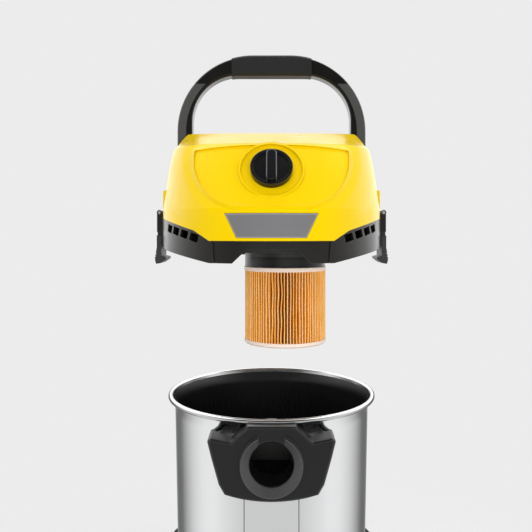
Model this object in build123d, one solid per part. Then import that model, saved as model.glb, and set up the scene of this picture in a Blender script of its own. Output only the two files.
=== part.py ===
from build123d import *

import math
import os

# A wet and dry drum vacuum with its motor head lifted off the steel drum.
# Millimetres, +Z up, hose inlet towards -Y, origin on the floor under the drum.

# Clearances
RUN_FIT = 0.06
SLIP_FIT = 0.4
MOVE_GAP = 1.6

# Castors
WHEEL_R = 24.0
WHEEL_W = 18.0
AXLE_R = 3.0
AXLE_HEAD = 1.5
STEM_R = 4.0
STEM_HEAD = 2.0
FORK_WALL = 3.0
FORK_CROWN = 5.0
CASTOR_TRAIL = 15.0
CASTOR_X = 128.0
CASTOR_Y = 152.0
CASTOR_GAP = 1.5

# Castor base
POD_R = 42.0
BASE_DEPTH = 22.0
BASE_WALL = 3.0
BASE_LIP = 12.0
BASE_EDGE = 2.5
BASE_SINK = 0.5
RIB_T = 2.0
ARM_R = 30.0
ARM_START = 0.45
RIVET_R = 2.5
RIVET_HEAD = 1.6

# Steel drum
DRUM_TOP_R = 140.0
DRUM_BOTTOM_R = 135.0
DRUM_HEIGHT = 285.5
DRUM_WALL = 1.0
DRUM_CORNER = 9.0
FLARE_OUT = 4.0
FLARE_HEIGHT = 22.0
BEAD_R = 3.5
BAND_W = 73.0
BAND_DEPTH = 0.8

# Hose inlet
INLET_DROP = 50.0
INLET_BORE_R = 27.0
INLET_WALL = 3.5
INLET_STAND = 25.0
COLLAR_R = 38.0
COLLAR_LEN = 7.0
COLLAR_SLOT = 33.0
INLET_EDGE = 2.0
INLET_FLANGE = 6.0
INLET_SCREW_R = 2.0
INLET_SCREW_OUT = 10.5
INLET_POST_WALL = 3.0
SPIGOT_IN = 14.0
GASKET_T = 1.5
GASKET_W = 5.0
DEFLECTOR_SEAT = 16.0
DEFLECTOR_RIM = 17.0
DEFLECTOR_REACH = 46.0
DEFLECTOR_DROP = 18.0

# Motor head: plan, lift and levels above the seat on the drum rim
LIFT = 206.0
SKIRT_GAP = 3.5
SKIRT_WALL = 4.0
SKIRT_DROP = 13.0
SKIRT_SIDE_RISE = 17.0
SEAL_T = 5.0
SEAL_W = 8.0
SEAT_GAP = 0.3
DECK_T = 3.0
PART_FRONT = 15.0
PART_STEP = 13.0
PART_SIDE = 46.0
BELT_TOP = 56.0
COVER_WALL = 4.0
PANEL_DEPTH = 1.8
PANEL_TOP = 134.0
PANEL_CROWN = 5.5
PANEL_FLANK = 93.0
PANEL_FOOT = 5.0
LEDGE_TOP = 85.0
LEDGE_HALF = 30.0
LEDGE_EDGE = 1.5
NOTCH_TOP = 31.0
NOTCH_RISE = 17.0
NOTCH_FLARE = 18.0
VENT_COUNT = 4
VENT_H = 10.0
VENT_START = 39.0
VENT_PITCH = 7.2
VENT_SPAN = 5.5
VENT_SLANT = 2.0
SCREW_ANGLES = (45, 135, 225, 315)
SCREW_IN = 24.0
SCREW_R = 2.0
SCREW_HEAD = 2.4
SCREW_POST_R = 6.0
SCREW_WEB = 4.0

# Cover sections: level above the seat, side inset, front inset, roundness
COVER_SECTIONS = [
    (84.0, 4.5, 16.5, 2.15),
    (116.0, 10.0, 35.5, 2.4),
    (142.0, 16.2, 51.5, 2.6),
    (167.0, 30.0, 130.0, 3.2),
]
COVER_POINTS = 24
ROOM_LEVEL = 138.0
ROOM_SIDE = 25.5
ROOM_FRONT = 61.5
ROOM_TOP_SIDE = 45.0
ROOM_TOP_FRONT = 126.5

# Badge plate
BADGE_TOP_W = 116.0
BADGE_BOTTOM_W = 86.0
BADGE_LOW = 19.0
BADGE_H = 30.0
BADGE_T = 2.4

# Rotary switch
KNOB_R = 27.0
KNOB_T = 9.0
KNOB_BAR_W = 14.0
KNOB_BAR_H = 9.0
KNOB_WELL_R = 39.5
KNOB_WELL = 3.0
COLLAR_RIM = 3.0
COLLAR_RISE = 0.8
KNOB_LEVEL = 106.0
KNOB_LEAN = 29.0
KNOB_SHAFT_R = 4.0
KNOB_RIM = 3.5
KNOB_DISH = 2.5
SWITCH_W = 34.0
SWITCH_H = 30.0
SWITCH_DEPTH = 20.0
SHAFT_IN = 8.0

# Carrying handle
HANDLE_HALF = 137.0
HANDLE_TOP = 282.0
HANDLE_PIVOT = 128.0
HANDLE_SET = 2.0
LEG_W = 22.0
LEG_D = 24.0
GRIP_H = 28.0
GRIP_W = 116.0
GRIP_SKIN = 3.5
HANDLE_BEND = 109.6
HANDLE_INNER_BEND = 67.1
TRIM_W = 17.2
TRIM_T = 2.0
HANDLE_PIN_R = 5.0
HANDLE_PIN_IN = 9.0
HANDLE_PIN_OUT = 6.0
HANDLE_ROUND = 3.2
GRIP_SWELL = 2.0
GRIP_RISE = 1.0
GRIP_ROUND = 5.0
CHANNEL_LAP = 2.0

# Side latches
LATCH_T = 6.5
LATCH_W = 30.0
LATCH_FOOT_W = 44.0
LATCH_PIVOT = 54.0
LATCH_PIN_R = 2.2
LATCH_DROP = 20.0
LATCH_GAP = 1.2
LATCH_SHOULDER = 21.0
LATCH_RIBS = 4
LATCH_RIB_PITCH = 4.0
LATCH_RIB_R = 0.9
LUG_T = 4.5
LUG_GAP = 0.6
LUG_LOW = 26.0
LATCH_PAD = 6.0

# Filter, basket and float
FILTER_X = 20.0
FILTER_R = 60.0
FILTER_BORE_R = 45.0
FILTER_H = 111.0
FILTER_TOP = 24.0
FILTER_RING = 6.0
FILTER_PLEATS = 84
PLEAT_PAPER = 0.9
PLEAT_INSET = 1.5
RING_ROUND = 1.2
CAP_EDGE = 1.5
BASKET_R = 40.0
BASKET_WALL = 2.5
BASKET_LEN = 92.0
BASKET_SLOT = 16.0
FILTER_SEAT_W = 9.0
FLOAT_R = 26.0
FLOAT_H = 30.0
FLOAT_ROUND = 8.0
CORE_WALL = 1.4
CORE_ROWS = 4
CORE_COLUMNS = 6
CORE_WINDOW = 18.0

# Motor
CAN_R = 60.0
CAN_H = 34.0
CAN_WALL = 1.2
STATOR_R = 42.0
STATOR_H = 46.0
ROTOR_R = 23.0
SHAFT_R = 5.0
BEARING_R = 13.0
BEARING_T = 9.0
BEARING_WALL = 4.0
MOTOR_SEAL_T = 3.0
MOTOR_SEAL_W = 14.0
CAN_EYE_R = 22.0
CAN_SLOTS = 8
CAN_SLOT_W = 16.0
CAN_SLOT_H = 8.0
STATOR_RISE = 14.0
BRIDGE_RISE = 16.0
BRIDGE_T = 6.0
FRAME_WALL = 8.0
FRAME_POST_W = 12.0
AIR_GAP = 1.0
COIL_W = 22.0
COIL_END = 5.0
COMMUTATOR_R = 12.0
BRUSH_W = 7.0
MOUNT_R = 16.0
MOUNT_WALL = 3.0
MOUNT_GRIP = 12.0
BLADES = 9
BLADE_T = 1.2
PLATE_T = 1.5

# Rear fittings
PORT_R = 19.0
PORT_BORE_R = 16.0
PORT_LEVEL = 36.0
PORT_REACH = 9.0
PORT_IN = 8.0
PORT_LIP = 2.5
PORT_LIP_T = 3.0
GLAND_R = 8.0
GLAND_BORE_R = 3.6
GLAND_FLANGE = 2.5
GLAND_OUT = 3.0
GLAND_ANGLE = 120.0

# Levels and radii that follow from the sizes above
AXLE_Z = WHEEL_R
CROWN_Z = 2 * WHEEL_R + 2 * CASTOR_GAP
BASE_Z = CROWN_Z + FORK_CROWN + CASTOR_GAP
DRUM_Z = BASE_Z + BASE_DEPTH
RIM_Z = DRUM_Z + DRUM_HEIGHT
FLARE_Z = RIM_Z - FLARE_HEIGHT
BEAD_C = DRUM_TOP_R + FLARE_OUT - DRUM_WALL + BEAD_R
RIM_R = BEAD_C + BEAD_R
INLET_Z = RIM_Z - INLET_DROP
INLET_Y = -(DRUM_TOP_R + INLET_STAND)
SPIGOT_R = INLET_BORE_R + INLET_WALL
SEAT_Z = RIM_Z + LIFT
HEAD_R = RIM_R + SKIRT_GAP + SKIRT_WALL
DECK_Z = SEAT_Z + SEAL_T
DECK_TOP = DECK_Z + DECK_T
FILTER_Z = SEAT_Z - FILTER_TOP
COVER_INSIDE = SEAT_Z + COVER_SECTIONS[-1][0] - COVER_WALL
CAN_LOW = DECK_TOP + MOTOR_SEAL_T
CAN_HIGH = CAN_LOW + CAN_H
STATOR_LOW = CAN_HIGH + STATOR_RISE
STATOR_HIGH = STATOR_LOW + STATOR_H
BRIDGE_Z = STATOR_HIGH + BRIDGE_RISE
SWITCH_BACK = -KNOB_WELL - COVER_WALL
KNOB_FLOOR = -KNOB_WELL + MOVE_GAP / 2

LOW = (Align.CENTER, Align.CENTER, Align.MIN)


def disc(radius, low, high, x=0.0, y=0.0):
    """A vertical round bar between two levels."""
    return Pos(x, y, low) * Cylinder(radius, high - low, align=LOW)


def tube(outer, inner, low, high, x=0.0, y=0.0):
    """A vertical tube between two levels."""
    return disc(outer, low, high, x, y) - disc(inner, low - 1, high + 1, x, y)


def bar_y(radius, near, far, x, z):
    """A round bar along Y."""
    return Pos(x, far, z) * Rot(90, 0, 0) * Cylinder(radius, far - near, align=LOW)


def bar_x(radius, left, right, y, z):
    """A round bar along X."""
    return Pos(left, y, z) * Rot(0, 90, 0) * Cylinder(radius, right - left, align=LOW)


def block(x0, x1, y0, y1, z0, z1):
    """A box between two corners."""
    centre = Pos((x0 + x1) / 2, (y0 + y1) / 2, (z0 + z1) / 2)
    return centre * Box(x1 - x0, y1 - y0, z1 - z0)


def outline(points):
    """A closed straight-sided outline."""
    return make_face(Polyline(*points, close=True))


def front_prism(face, near, far):
    """An outline drawn in the front view (x, z), run along Y from near to far."""
    return extrude(Plane.XZ.offset(-far) * face, far - near)


def both_sides(points):
    """The right half of an outline, from the top down, with its mirror image."""
    return points + [(-x, z) for x, z in reversed(points)]


def save(solid, name):
    """Write one sub-part."""
    export_step(solid, f"parts/{name}.step")


def wall_r(z):
    """Outer radius of the tapered drum wall at a height."""
    return DRUM_BOTTOM_R + (DRUM_TOP_R - DRUM_BOTTOM_R) * (z - DRUM_Z) / (FLARE_Z - DRUM_Z)


def drum_core(grow, low, high):
    """The tapered drum filled solid, grown outward by a given amount."""
    frustum = Cone(wall_r(low) + grow, wall_r(high) + grow, high - low, align=LOW)
    return Pos(0, 0, low) * frustum


# Steel drum: a drawn tapered shell with a flared lip and a rolled bead
def drum():
    inner = DRUM_WALL
    corner_r = wall_r(DRUM_Z + DRUM_CORNER)
    outside = Polyline((0, DRUM_Z), (corner_r - DRUM_CORNER, DRUM_Z))
    corner = RadiusArc((corner_r - DRUM_CORNER, DRUM_Z), (corner_r, DRUM_Z + DRUM_CORNER), -DRUM_CORNER)
    side = Polyline(
        (corner_r, DRUM_Z + DRUM_CORNER),
        (DRUM_TOP_R, FLARE_Z),
        (DRUM_TOP_R + FLARE_OUT, RIM_Z - BEAD_R),
        (DRUM_TOP_R + FLARE_OUT - inner, RIM_Z - BEAD_R),
        (DRUM_TOP_R - inner, FLARE_Z),
        (corner_r - inner, DRUM_Z + DRUM_CORNER),
    )
    inside_corner = RadiusArc(
        (corner_r - inner, DRUM_Z + DRUM_CORNER),
        (corner_r - DRUM_CORNER, DRUM_Z + inner),
        DRUM_CORNER - inner,
    )
    inside = Polyline((corner_r - DRUM_CORNER, DRUM_Z + inner), (0, DRUM_Z + inner), (0, DRUM_Z))
    sheet = make_face([outside, corner, side, inside_corner, inside])
    curl = Circle(BEAD_R) - Circle(BEAD_R - inner)
    curl -= Pos(-BEAD_R / 2, -BEAD_R * 0.62) * Rectangle(BEAD_R * 0.4, BEAD_R * 0.5)
    section = sheet + Pos(BEAD_C, RIM_Z - BEAD_R) * curl
    shell = revolve(Plane.XZ * section, Axis.Z)

    shell = shell - band_layer(inner, -BAND_DEPTH) + band_layer(-inner, -inner - BAND_DEPTH)

    shell -= bar_y(SPIGOT_R + SLIP_FIT, -2 * DRUM_TOP_R, 0, 0, INLET_Z)
    for x, z in inlet_screw_places():
        shell -= bar_y(INLET_SCREW_R + SLIP_FIT, -2 * DRUM_TOP_R, 0, x, z)
    for x, y in rivet_places():
        shell -= disc(RIVET_R + SLIP_FIT, DRUM_Z - 1, DRUM_Z + 2 * DRUM_WALL, x, y)
    return shell


def band_layer(outer, inner):
    """The band pressed into the drum below the inlet, between two offsets from the wall."""
    low = DRUM_Z + 3 * DRUM_CORNER
    high = INLET_Z - COLLAR_R
    strip = block(-BAND_W / 2, BAND_W / 2, -2 * DRUM_TOP_R, 0, low, high)
    return (drum_core(outer, low, high) - drum_core(inner, low, high)) & strip


def rivet_places():
    """Four rivets hold the drum's bottom on the castor base."""
    ring_r = DRUM_BOTTOM_R * 0.55
    return [(ring_r * sx, ring_r * sy) for sx in (-1, 1) for sy in (-1, 1)]


def castor_places():
    """The four swivel axes, with their names."""
    return [
        ("front_left", -CASTOR_X, -CASTOR_Y),
        ("front_right", CASTOR_X, -CASTOR_Y),
        ("rear_left", -CASTOR_X, CASTOR_Y),
        ("rear_right", CASTOR_X, CASTOR_Y),
    ]


# Castor base: an open-bottomed moulding with four pods and a lip round the drum
def castor_base():
    lip_r = wall_r(DRUM_Z + BASE_LIP) + SLIP_FIT
    plan = Circle(lip_r + BASE_WALL + 2 * BASE_EDGE)
    for _, x, y in castor_places():
        inward = Pos(ARM_START * x, ARM_START * y) * Circle(ARM_R)
        plan += make_hull((inward + Pos(x, y) * Circle(POD_R)).edges())
    hull = extrude(Pos(0, 0, BASE_Z) * plan, BASE_DEPTH)
    hull = chamfer(hull.faces().sort_by(Axis.Z)[-1].edges(), BASE_EDGE)
    hollow = extrude(Pos(0, 0, BASE_Z - 1) * offset(plan, -BASE_WALL), BASE_DEPTH - BASE_WALL + 1)
    base = hull - hollow
    base += tube(lip_r + BASE_WALL, lip_r, DRUM_Z - BASE_SINK, DRUM_Z + BASE_LIP)
    ceiling = DRUM_Z - BASE_WALL
    for _, x, y in castor_places():
        base += disc(STEM_R + 2 * BASE_WALL, BASE_Z, ceiling + BASE_SINK, x, y)
        for angle in (0, 90, 180, 270):
            rib_low = BASE_Z + BASE_WALL
            rib = block(0, POD_R - BASE_WALL / 2, -RIB_T / 2, RIB_T / 2, rib_low, ceiling + BASE_SINK)
            base += Pos(x, y, 0) * Rot(0, 0, angle) * rib
        base -= disc(STEM_R, BASE_Z - 1, ceiling, x, y)
    for x, y in rivet_places():
        base -= disc(RIVET_R + SLIP_FIT, BASE_Z, DRUM_Z + 1, x, y)
    return base


def base_rivets():
    rivets = []
    for x, y in rivet_places():
        low = DRUM_Z - BASE_WALL
        high = DRUM_Z + DRUM_WALL
        rivet = disc(RIVET_R, low, high, x, y)
        rivet += disc(2 * RIVET_R, high, high + RIVET_HEAD, x, y)
        rivet += disc(2 * RIVET_R, low - RIVET_HEAD, low, x, y)
        rivets.append(rivet)
    return Compound(children=rivets)


# Castors: a stem fixed in the pod, a swivelling hooded fork, an axle and a wheel
def castor_stems():
    stems = []
    for _, x, y in castor_places():
        stem = disc(STEM_R, CROWN_Z, DRUM_Z - BASE_WALL, x, y)
        stem += disc(STEM_R + STEM_HEAD, CROWN_Z - STEM_HEAD, CROWN_Z, x, y)
        stems.append(stem)
    return Compound(children=stems)


def castor_fork(x, y):
    half = WHEEL_W / 2 + CASTOR_GAP / 2
    hub_r = STEM_R + 2 * FORK_WALL
    crown = disc(hub_r, CROWN_Z, CROWN_Z + FORK_CROWN)
    reach = CASTOR_TRAIL + AXLE_R + FORK_WALL
    crown += block(-half - FORK_WALL, half + FORK_WALL, -hub_r, reach, CROWN_Z, CROWN_Z + FORK_CROWN)
    eye_r = AXLE_R + 2 * FORK_WALL
    side = outline([
        (-hub_r, CROWN_Z + FORK_CROWN),
        (reach, CROWN_Z + FORK_CROWN),
        (CASTOR_TRAIL + eye_r, AXLE_Z),
        (CASTOR_TRAIL, AXLE_Z - eye_r * 0.9),
        (CASTOR_TRAIL - eye_r, AXLE_Z),
        (-hub_r, CROWN_Z - FORK_CROWN),
    ])
    cheek = extrude(Plane.YZ * side, FORK_WALL)
    fork = crown + Pos(half, 0, 0) * cheek + Pos(-half - FORK_WALL, 0, 0) * cheek
    fork -= disc(STEM_R + RUN_FIT, CROWN_Z - 1, CROWN_Z + FORK_CROWN + 1)
    fork -= bar_x(AXLE_R, -half - 2 * FORK_WALL, half + 2 * FORK_WALL, CASTOR_TRAIL, AXLE_Z)
    return Pos(x, y, 0) * fork


def castor_axle(x, y):
    half = WHEEL_W / 2 + CASTOR_GAP / 2 + FORK_WALL
    axle = bar_x(AXLE_R, -half, half, CASTOR_TRAIL, AXLE_Z)
    axle += bar_x(AXLE_R + AXLE_HEAD, -half - AXLE_HEAD, -half, CASTOR_TRAIL, AXLE_Z)
    axle += bar_x(AXLE_R + AXLE_HEAD, half, half + AXLE_HEAD, CASTOR_TRAIL, AXLE_Z)
    return Pos(x, y, 0) * axle


def castor_wheel(x, y):
    half = WHEEL_W / 2
    web = half * 0.45
    hub_r = AXLE_R + 4.0
    tread_r = WHEEL_R * 0.78
    section = outline([
        (AXLE_R + RUN_FIT, -half),
        (hub_r, -half),
        (hub_r, -web),
        (tread_r, -web),
        (tread_r, -half),
        (WHEEL_R - 2, -half),
        (WHEEL_R, -half + 2),
        (WHEEL_R, half - 2),
        (WHEEL_R - 2, half),
        (tread_r, half),
        (tread_r, web),
        (hub_r, web),
        (hub_r, half),
        (AXLE_R + RUN_FIT, half),
    ])
    wheel = revolve(Plane.XZ * section, Axis.Z)
    return Pos(x, y + CASTOR_TRAIL, AXLE_Z) * Rot(0, 90, 0) * wheel


# Hose inlet: an outer moulding with a flared collar, a gasket, screws and an inner deflector
def inlet_screw_places():
    """Screw centres round the bore, in the front view."""
    spread = (SPIGOT_R + INLET_SCREW_OUT) * math.sqrt(0.5)
    return [(spread * sx, INLET_Z + spread * sz) for sx in (-1, 1) for sz in (-1, 1)]


def inlet_face():
    tab = NOTCH_TOP - MOVE_GAP
    tab_top = RIM_Z - BEAD_R
    ear_top = RIM_Z - SKIRT_DROP - 3 * MOVE_GAP
    half = 2 * COLLAR_R
    foot = 1.5 * COLLAR_R
    foot_z = INLET_Z - 0.95 * COLLAR_R
    right = [
        (tab, tab_top),
        (tab + 4, tab_top - 4),
        (COLLAR_R + 12, ear_top - 5),
        (half - 2, ear_top),
        (half + 2, ear_top - 4),
        (half - 3, INLET_Z + 8),
        (foot + 7, INLET_Z - 24),
        (foot, foot_z),
    ]
    edge = Polyline(*[(-x, z) for x, z in reversed(right)], *right)
    belly = ThreePointArc((foot, foot_z), (0, foot_z - 9), (-foot, foot_z))
    return make_face([edge, belly])


def inlet_housing():
    face = inlet_face()
    body = front_prism(face, INLET_Y, 0)
    body = chamfer(body.faces().sort_by(Axis.Y)[0].edges(), INLET_EDGE)
    body -= front_prism(offset(face, -INLET_WALL, kind=Kind.INTERSECTION), INLET_Y + INLET_WALL, 1)
    flange_r = SPIGOT_R + INLET_FLANGE
    body += bar_y(flange_r, INLET_Y + 1, 0, 0, INLET_Z)
    for x, z in inlet_screw_places():
        body += bar_y(INLET_SCREW_R + INLET_POST_WALL, INLET_Y + 1, 0, x, z)
    body -= drum_core(0, DRUM_Z, FLARE_Z)
    body -= disc(RIM_R + SLIP_FIT, FLARE_Z - 0.5, RIM_Z + 1)
    body -= drum_core(GASKET_T, DRUM_Z, FLARE_Z) & bar_y(flange_r - 1, INLET_Y, 0, 0, INLET_Z)
    spigot_end = -(DRUM_TOP_R - SPIGOT_IN)
    body += bar_y(SPIGOT_R, INLET_Y + 1, spigot_end, 0, INLET_Z)
    front = INLET_Y - COLLAR_LEN
    body += bar_y(COLLAR_R, front, INLET_Y + 1, 0, INLET_Z)
    flare = Cone(COLLAR_R - 1.2, INLET_BORE_R, COLLAR_LEN + 2, align=LOW)
    body -= Pos(0, front, INLET_Z) * Rot(-90, 0, 0) * flare
    body -= bar_y(INLET_BORE_R, front - 1, spigot_end + 1, 0, INLET_Z)
    slot_top = INLET_Z + COLLAR_R + 1
    body -= block(-COLLAR_SLOT / 2, COLLAR_SLOT / 2, front - 1, INLET_Y, INLET_Z, slot_top)
    for x, z in inlet_screw_places():
        body -= bar_y(INLET_SCREW_R + RUN_FIT, INLET_Y + INLET_WALL, 0, x, z)
    return body


def inlet_gasket():
    shell = drum_core(GASKET_T, DRUM_Z, FLARE_Z) - drum_core(0, DRUM_Z, FLARE_Z)
    ring = bar_y(SPIGOT_R + GASKET_W, INLET_Y, 0, 0, INLET_Z)
    ring -= bar_y(SPIGOT_R + SLIP_FIT, INLET_Y - 1, 1, 0, INLET_Z)
    return shell & ring


def inlet_deflector():
    flange_y = -(DRUM_TOP_R - DEFLECTOR_SEAT)
    ring = bar_y(SPIGOT_R + DEFLECTOR_RIM, -DRUM_TOP_R, flange_y, 0, INLET_Z)
    ring &= drum_core(-DRUM_WALL, DRUM_Z, FLARE_Z)
    ring -= bar_y(SPIGOT_R + SLIP_FIT, -DRUM_TOP_R, flange_y + 1, 0, INLET_Z)
    hood_r = SPIGOT_R + INLET_FLANGE - 1
    hood_in = hood_r - INLET_WALL
    low = INLET_Z - DEFLECTOR_DROP
    back = -(DRUM_TOP_R - DEFLECTOR_REACH)
    hood = bar_y(hood_r, flange_y - 0.5, back, 0, INLET_Z)
    hood += block(-hood_r, hood_r, flange_y - 0.5, back, low, INLET_Z)
    hood -= block(-2 * hood_r, 2 * hood_r, flange_y - 1, back + 1, INLET_Z - 2 * hood_r, low)
    hollow = bar_y(hood_in, flange_y - 1, back - INLET_WALL, 0, INLET_Z)
    hollow += block(-hood_in, hood_in, flange_y - 1, back - INLET_WALL, low - 1, INLET_Z)
    body = ring + hood - hollow - band_layer(-DRUM_WALL, -DRUM_WALL - BAND_DEPTH)
    for x, z in inlet_screw_places():
        body -= bar_y(INLET_SCREW_R + SLIP_FIT, -DRUM_TOP_R, flange_y + 1, x, z)
    return body


def inlet_screws():
    flange_y = -(DRUM_TOP_R - DEFLECTOR_SEAT)
    screws = []
    for x, z in inlet_screw_places():
        screw = bar_y(INLET_SCREW_R, INLET_Y + 3 * INLET_WALL, flange_y, x, z)
        screw += bar_y(2 * INLET_SCREW_R, flange_y, flange_y + INLET_SCREW_R, x, z)
        screws.append(screw)
    return Compound(children=screws)


# Motor head plan and parting: the cover's lower edge steps up from the front to the sides
def parting_under(gap):
    """Everything below the joint between the black base and the cover."""
    flat = HEAD_R / 2
    top = SEAT_Z - gap
    edge = both_sides([
        (flat, top + PART_FRONT),
        (flat + 1.6 * PART_STEP, top + PART_FRONT + PART_STEP),
        (HEAD_R, top + PART_SIDE),
        (2 * HEAD_R, top + PART_SIDE),
        (2 * HEAD_R, SEAT_Z - HEAD_R),
    ])
    return front_prism(outline(edge), -2 * HEAD_R, 2 * HEAD_R)


def screw_posts(low, high):
    """Four posts with webs to the outer wall, for the screws that join base and cover."""
    posts = []
    for angle in SCREW_ANGLES:
        post = disc(SCREW_POST_R, low, high, HEAD_R - SCREW_IN, 0)
        post += block(HEAD_R - SCREW_IN, HEAD_R - 1, -SCREW_WEB / 2, SCREW_WEB / 2, low, high)
        posts.append(Rot(0, 0, angle) * post)
    return posts


def post_bores(radius, low, high):
    return [Rot(0, 0, angle) * disc(radius, low, high, HEAD_R - SCREW_IN, 0) for angle in SCREW_ANGLES]


def latch_x():
    """Distance of the latch pins from the middle plane."""
    return HEAD_R + LATCH_GAP + LATCH_T / 2


def head_base():
    low = SEAT_Z - SKIRT_DROP
    high = SEAT_Z + BELT_TOP
    base = tube(HEAD_R, HEAD_R - SKIRT_WALL, low, high)
    for side in (-1, 1):
        inner = HEAD_R - SKIRT_WALL - LATCH_PAD
        pad = block(inner, HEAD_R - 1, -LATCH_FOOT_W * 0.62, LATCH_FOOT_W * 0.62, DECK_Z, high)
        base += pad if side > 0 else mirror(pad, Plane.YZ)
    base += disc(HEAD_R - 1, DECK_Z, DECK_TOP)
    for post in screw_posts(DECK_TOP - 0.5, high - 6):
        base += post
    base &= parting_under(0)

    flat = HEAD_R / 2
    arch = both_sides([
        (flat, low),
        (HEAD_R + 1, low + SKIRT_SIDE_RISE),
        (2 * HEAD_R, low + SKIRT_SIDE_RISE),
        (2 * HEAD_R, low - 1),
        (flat, low - 1),
    ])
    base -= front_prism(outline(arch), -2 * HEAD_R, 2 * HEAD_R)
    foot = NOTCH_TOP + NOTCH_FLARE
    notch = both_sides([(NOTCH_TOP, low + NOTCH_RISE), (foot, low), (foot + 1, low - 1)])
    base -= front_prism(outline(notch), -2 * HEAD_R, -RIM_R / 2)

    inset = SKIRT_WALL / 2
    face = both_sides([(flat - 1, high), (flat - 6, low - 1)])
    front = front_prism(outline(face), -2 * HEAD_R, -RIM_R / 2)
    base -= front & tube(HEAD_R + 1, HEAD_R - inset, low - 1, high)

    for side in (-1, 1):
        for cell in vent_cells(side):
            base -= cell

    base += tube(FILTER_R - 1, FILTER_R - 1 - FILTER_SEAT_W, FILTER_Z, DECK_Z + 0.5, FILTER_X)
    base += tube(CAN_R + 4, CAN_R + 1, DECK_TOP - 0.5, DECK_TOP + 10, FILTER_X)
    base -= disc(BASKET_R - BASKET_WALL, DECK_Z - 1, DECK_TOP + 1, FILTER_X)
    for bore in post_bores(SCREW_R + SLIP_FIT / 2, DECK_Z - 1, high):
        base -= bore

    reach = latch_x() + LATCH_T / 2
    pivot_z = SEAT_Z + LATCH_PIVOT
    for side in (-1, 1):
        pocket = outline([
            (HEAD_R + 0.2, SEAT_Z + PART_SIDE),
            (HEAD_R - 5.5, low - 1),
            (2 * HEAD_R, low - 1),
            (2 * HEAD_R, SEAT_Z + PART_SIDE),
        ])
        half = LATCH_FOOT_W / 2 + MOVE_GAP
        pocket = front_prism(pocket, -half, half)
        base -= pocket if side > 0 else mirror(pocket, Plane.YZ)
        for end in (-1, 1):
            near = LATCH_W / 2 + LUG_GAP
            y0, y1 = sorted((end * near, end * (near + LUG_T)))
            lug = block(HEAD_R - 2 * SKIRT_WALL, reach, y0, y1, SEAT_Z + LUG_LOW, SEAT_Z + PART_SIDE - 2)
            lug += block(HEAD_R + SLIP_FIT, reach, y0, y1, SEAT_Z + PART_SIDE - 3, pivot_z)
            lug += bar_y(LATCH_T / 2 + 0.4, y0, y1, latch_x(), pivot_z)
            lug -= bar_y(LATCH_PIN_R, y0 - 1, y1 + 1, latch_x(), pivot_z)
            base += lug if side > 0 else mirror(lug, Plane.YZ)
    return base


def vent_cells(side):
    """Slanted air slots cut through the wall in line with the parting."""
    cells = []
    slope = (PART_SIDE - PART_FRONT - PART_STEP) / (HEAD_R * 0.38)
    for step in range(VENT_COUNT):
        angle = VENT_START + VENT_PITCH * step
        x = HEAD_R * math.sin(math.radians(angle))
        level = PART_FRONT + PART_STEP + slope * (x - HEAD_R * 0.62) - VENT_H * 0.95
        half = HEAD_R * math.radians(VENT_SPAN / 2)
        lean = slope * half * 0.8
        slot = outline([
            (-half - VENT_SLANT, SEAT_Z + level + VENT_H / 2 - lean),
            (half - VENT_SLANT, SEAT_Z + level + VENT_H / 2 + lean),
            (half + VENT_SLANT, SEAT_Z + level - VENT_H / 2 + lean),
            (-half + VENT_SLANT, SEAT_Z + level - VENT_H / 2 - lean),
        ])
        cell = Rot(0, 0, angle) * front_prism(slot, -HEAD_R - 5, -HEAD_R + SKIRT_WALL + 2)
        cells.append(cell if side > 0 else mirror(cell, Plane.YZ))
    return cells


def head_seal():
    return tube(BEAD_C + SEAL_W / 2, BEAD_C - SEAL_W / 2, SEAT_Z + SEAT_GAP, DECK_Z)


# Cover: a round belt that turns into a leaning loaf with a knob panel and a sloped roof
def loaf(inset):
    """The cover above its belt, shrunk by an inset: a rounded body under a sloped roof."""
    faces = [Pos(0, 0, SEAT_Z + BELT_TOP) * Circle(HEAD_R - inset)]
    for level, side, front, power in COVER_SECTIONS:
        drop = inset if level > KNOB_LEVEL + KNOB_R else 0
        z = SEAT_Z + level - drop
        points = []
        for step in range(COVER_POINTS):
            turn = 2 * math.pi * step / COVER_POINTS
            c = math.cos(turn)
            s = math.sin(turn)
            x = (HEAD_R - side - inset) * math.copysign(abs(c) ** (2 / power), c)
            y = (HEAD_R - front - inset) * math.copysign(abs(s) ** (2 / power), s)
            points.append((x, y, z))
        faces.append(make_face(Spline(*points, periodic=True)))
    return loft(faces[:-1]) + loft(faces[-2:], ruled=True)


def loaf_room():
    """The hollow inside the loaf: two tapers that keep at least a wall inside its skin."""
    levels = [SEAT_Z + BELT_TOP, SEAT_Z + ROOM_LEVEL, COVER_INSIDE]
    wide = HEAD_R - COVER_WALL
    rings = [
        Pos(0, 0, levels[0]) * Circle(wide - 2 * COVER_WALL),
        Pos(0, 0, levels[1]) * Ellipse(wide - ROOM_SIDE, wide - ROOM_FRONT),
        Pos(0, 0, levels[2]) * Ellipse(wide - ROOM_TOP_SIDE, wide - ROOM_TOP_FRONT),
    ]
    return loft(rings[:2], ruled=True) + loft(rings[1:], ruled=True)


def cover_front(level):
    """Distance from the axis to the cover's front at a level."""
    low = (BELT_TOP, 0.0)
    for high in [(section[0], section[2]) for section in COVER_SECTIONS]:
        if level <= high[0]:
            share = (level - low[0]) / (high[0] - low[0])
            return HEAD_R - low[1] - share * (high[1] - low[1])
        low = high
    return 0.0


def knob_plane(out):
    """A plane square to the knob's axis, a given way out from the cover's face."""
    lean = math.radians(KNOB_LEAN)
    normal = Vector(0, -math.cos(lean), math.sin(lean))
    foot = Vector(0, -cover_front(KNOB_LEVEL) + PANEL_DEPTH, SEAT_Z + KNOB_LEVEL)
    return Plane(origin=foot + normal * out, x_dir=(1, 0, 0), z_dir=normal)


def knob_bar(radius, low, high):
    """A round bar on the knob's axis."""
    return knob_plane(low) * Cylinder(radius, high - low, align=LOW)


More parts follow.
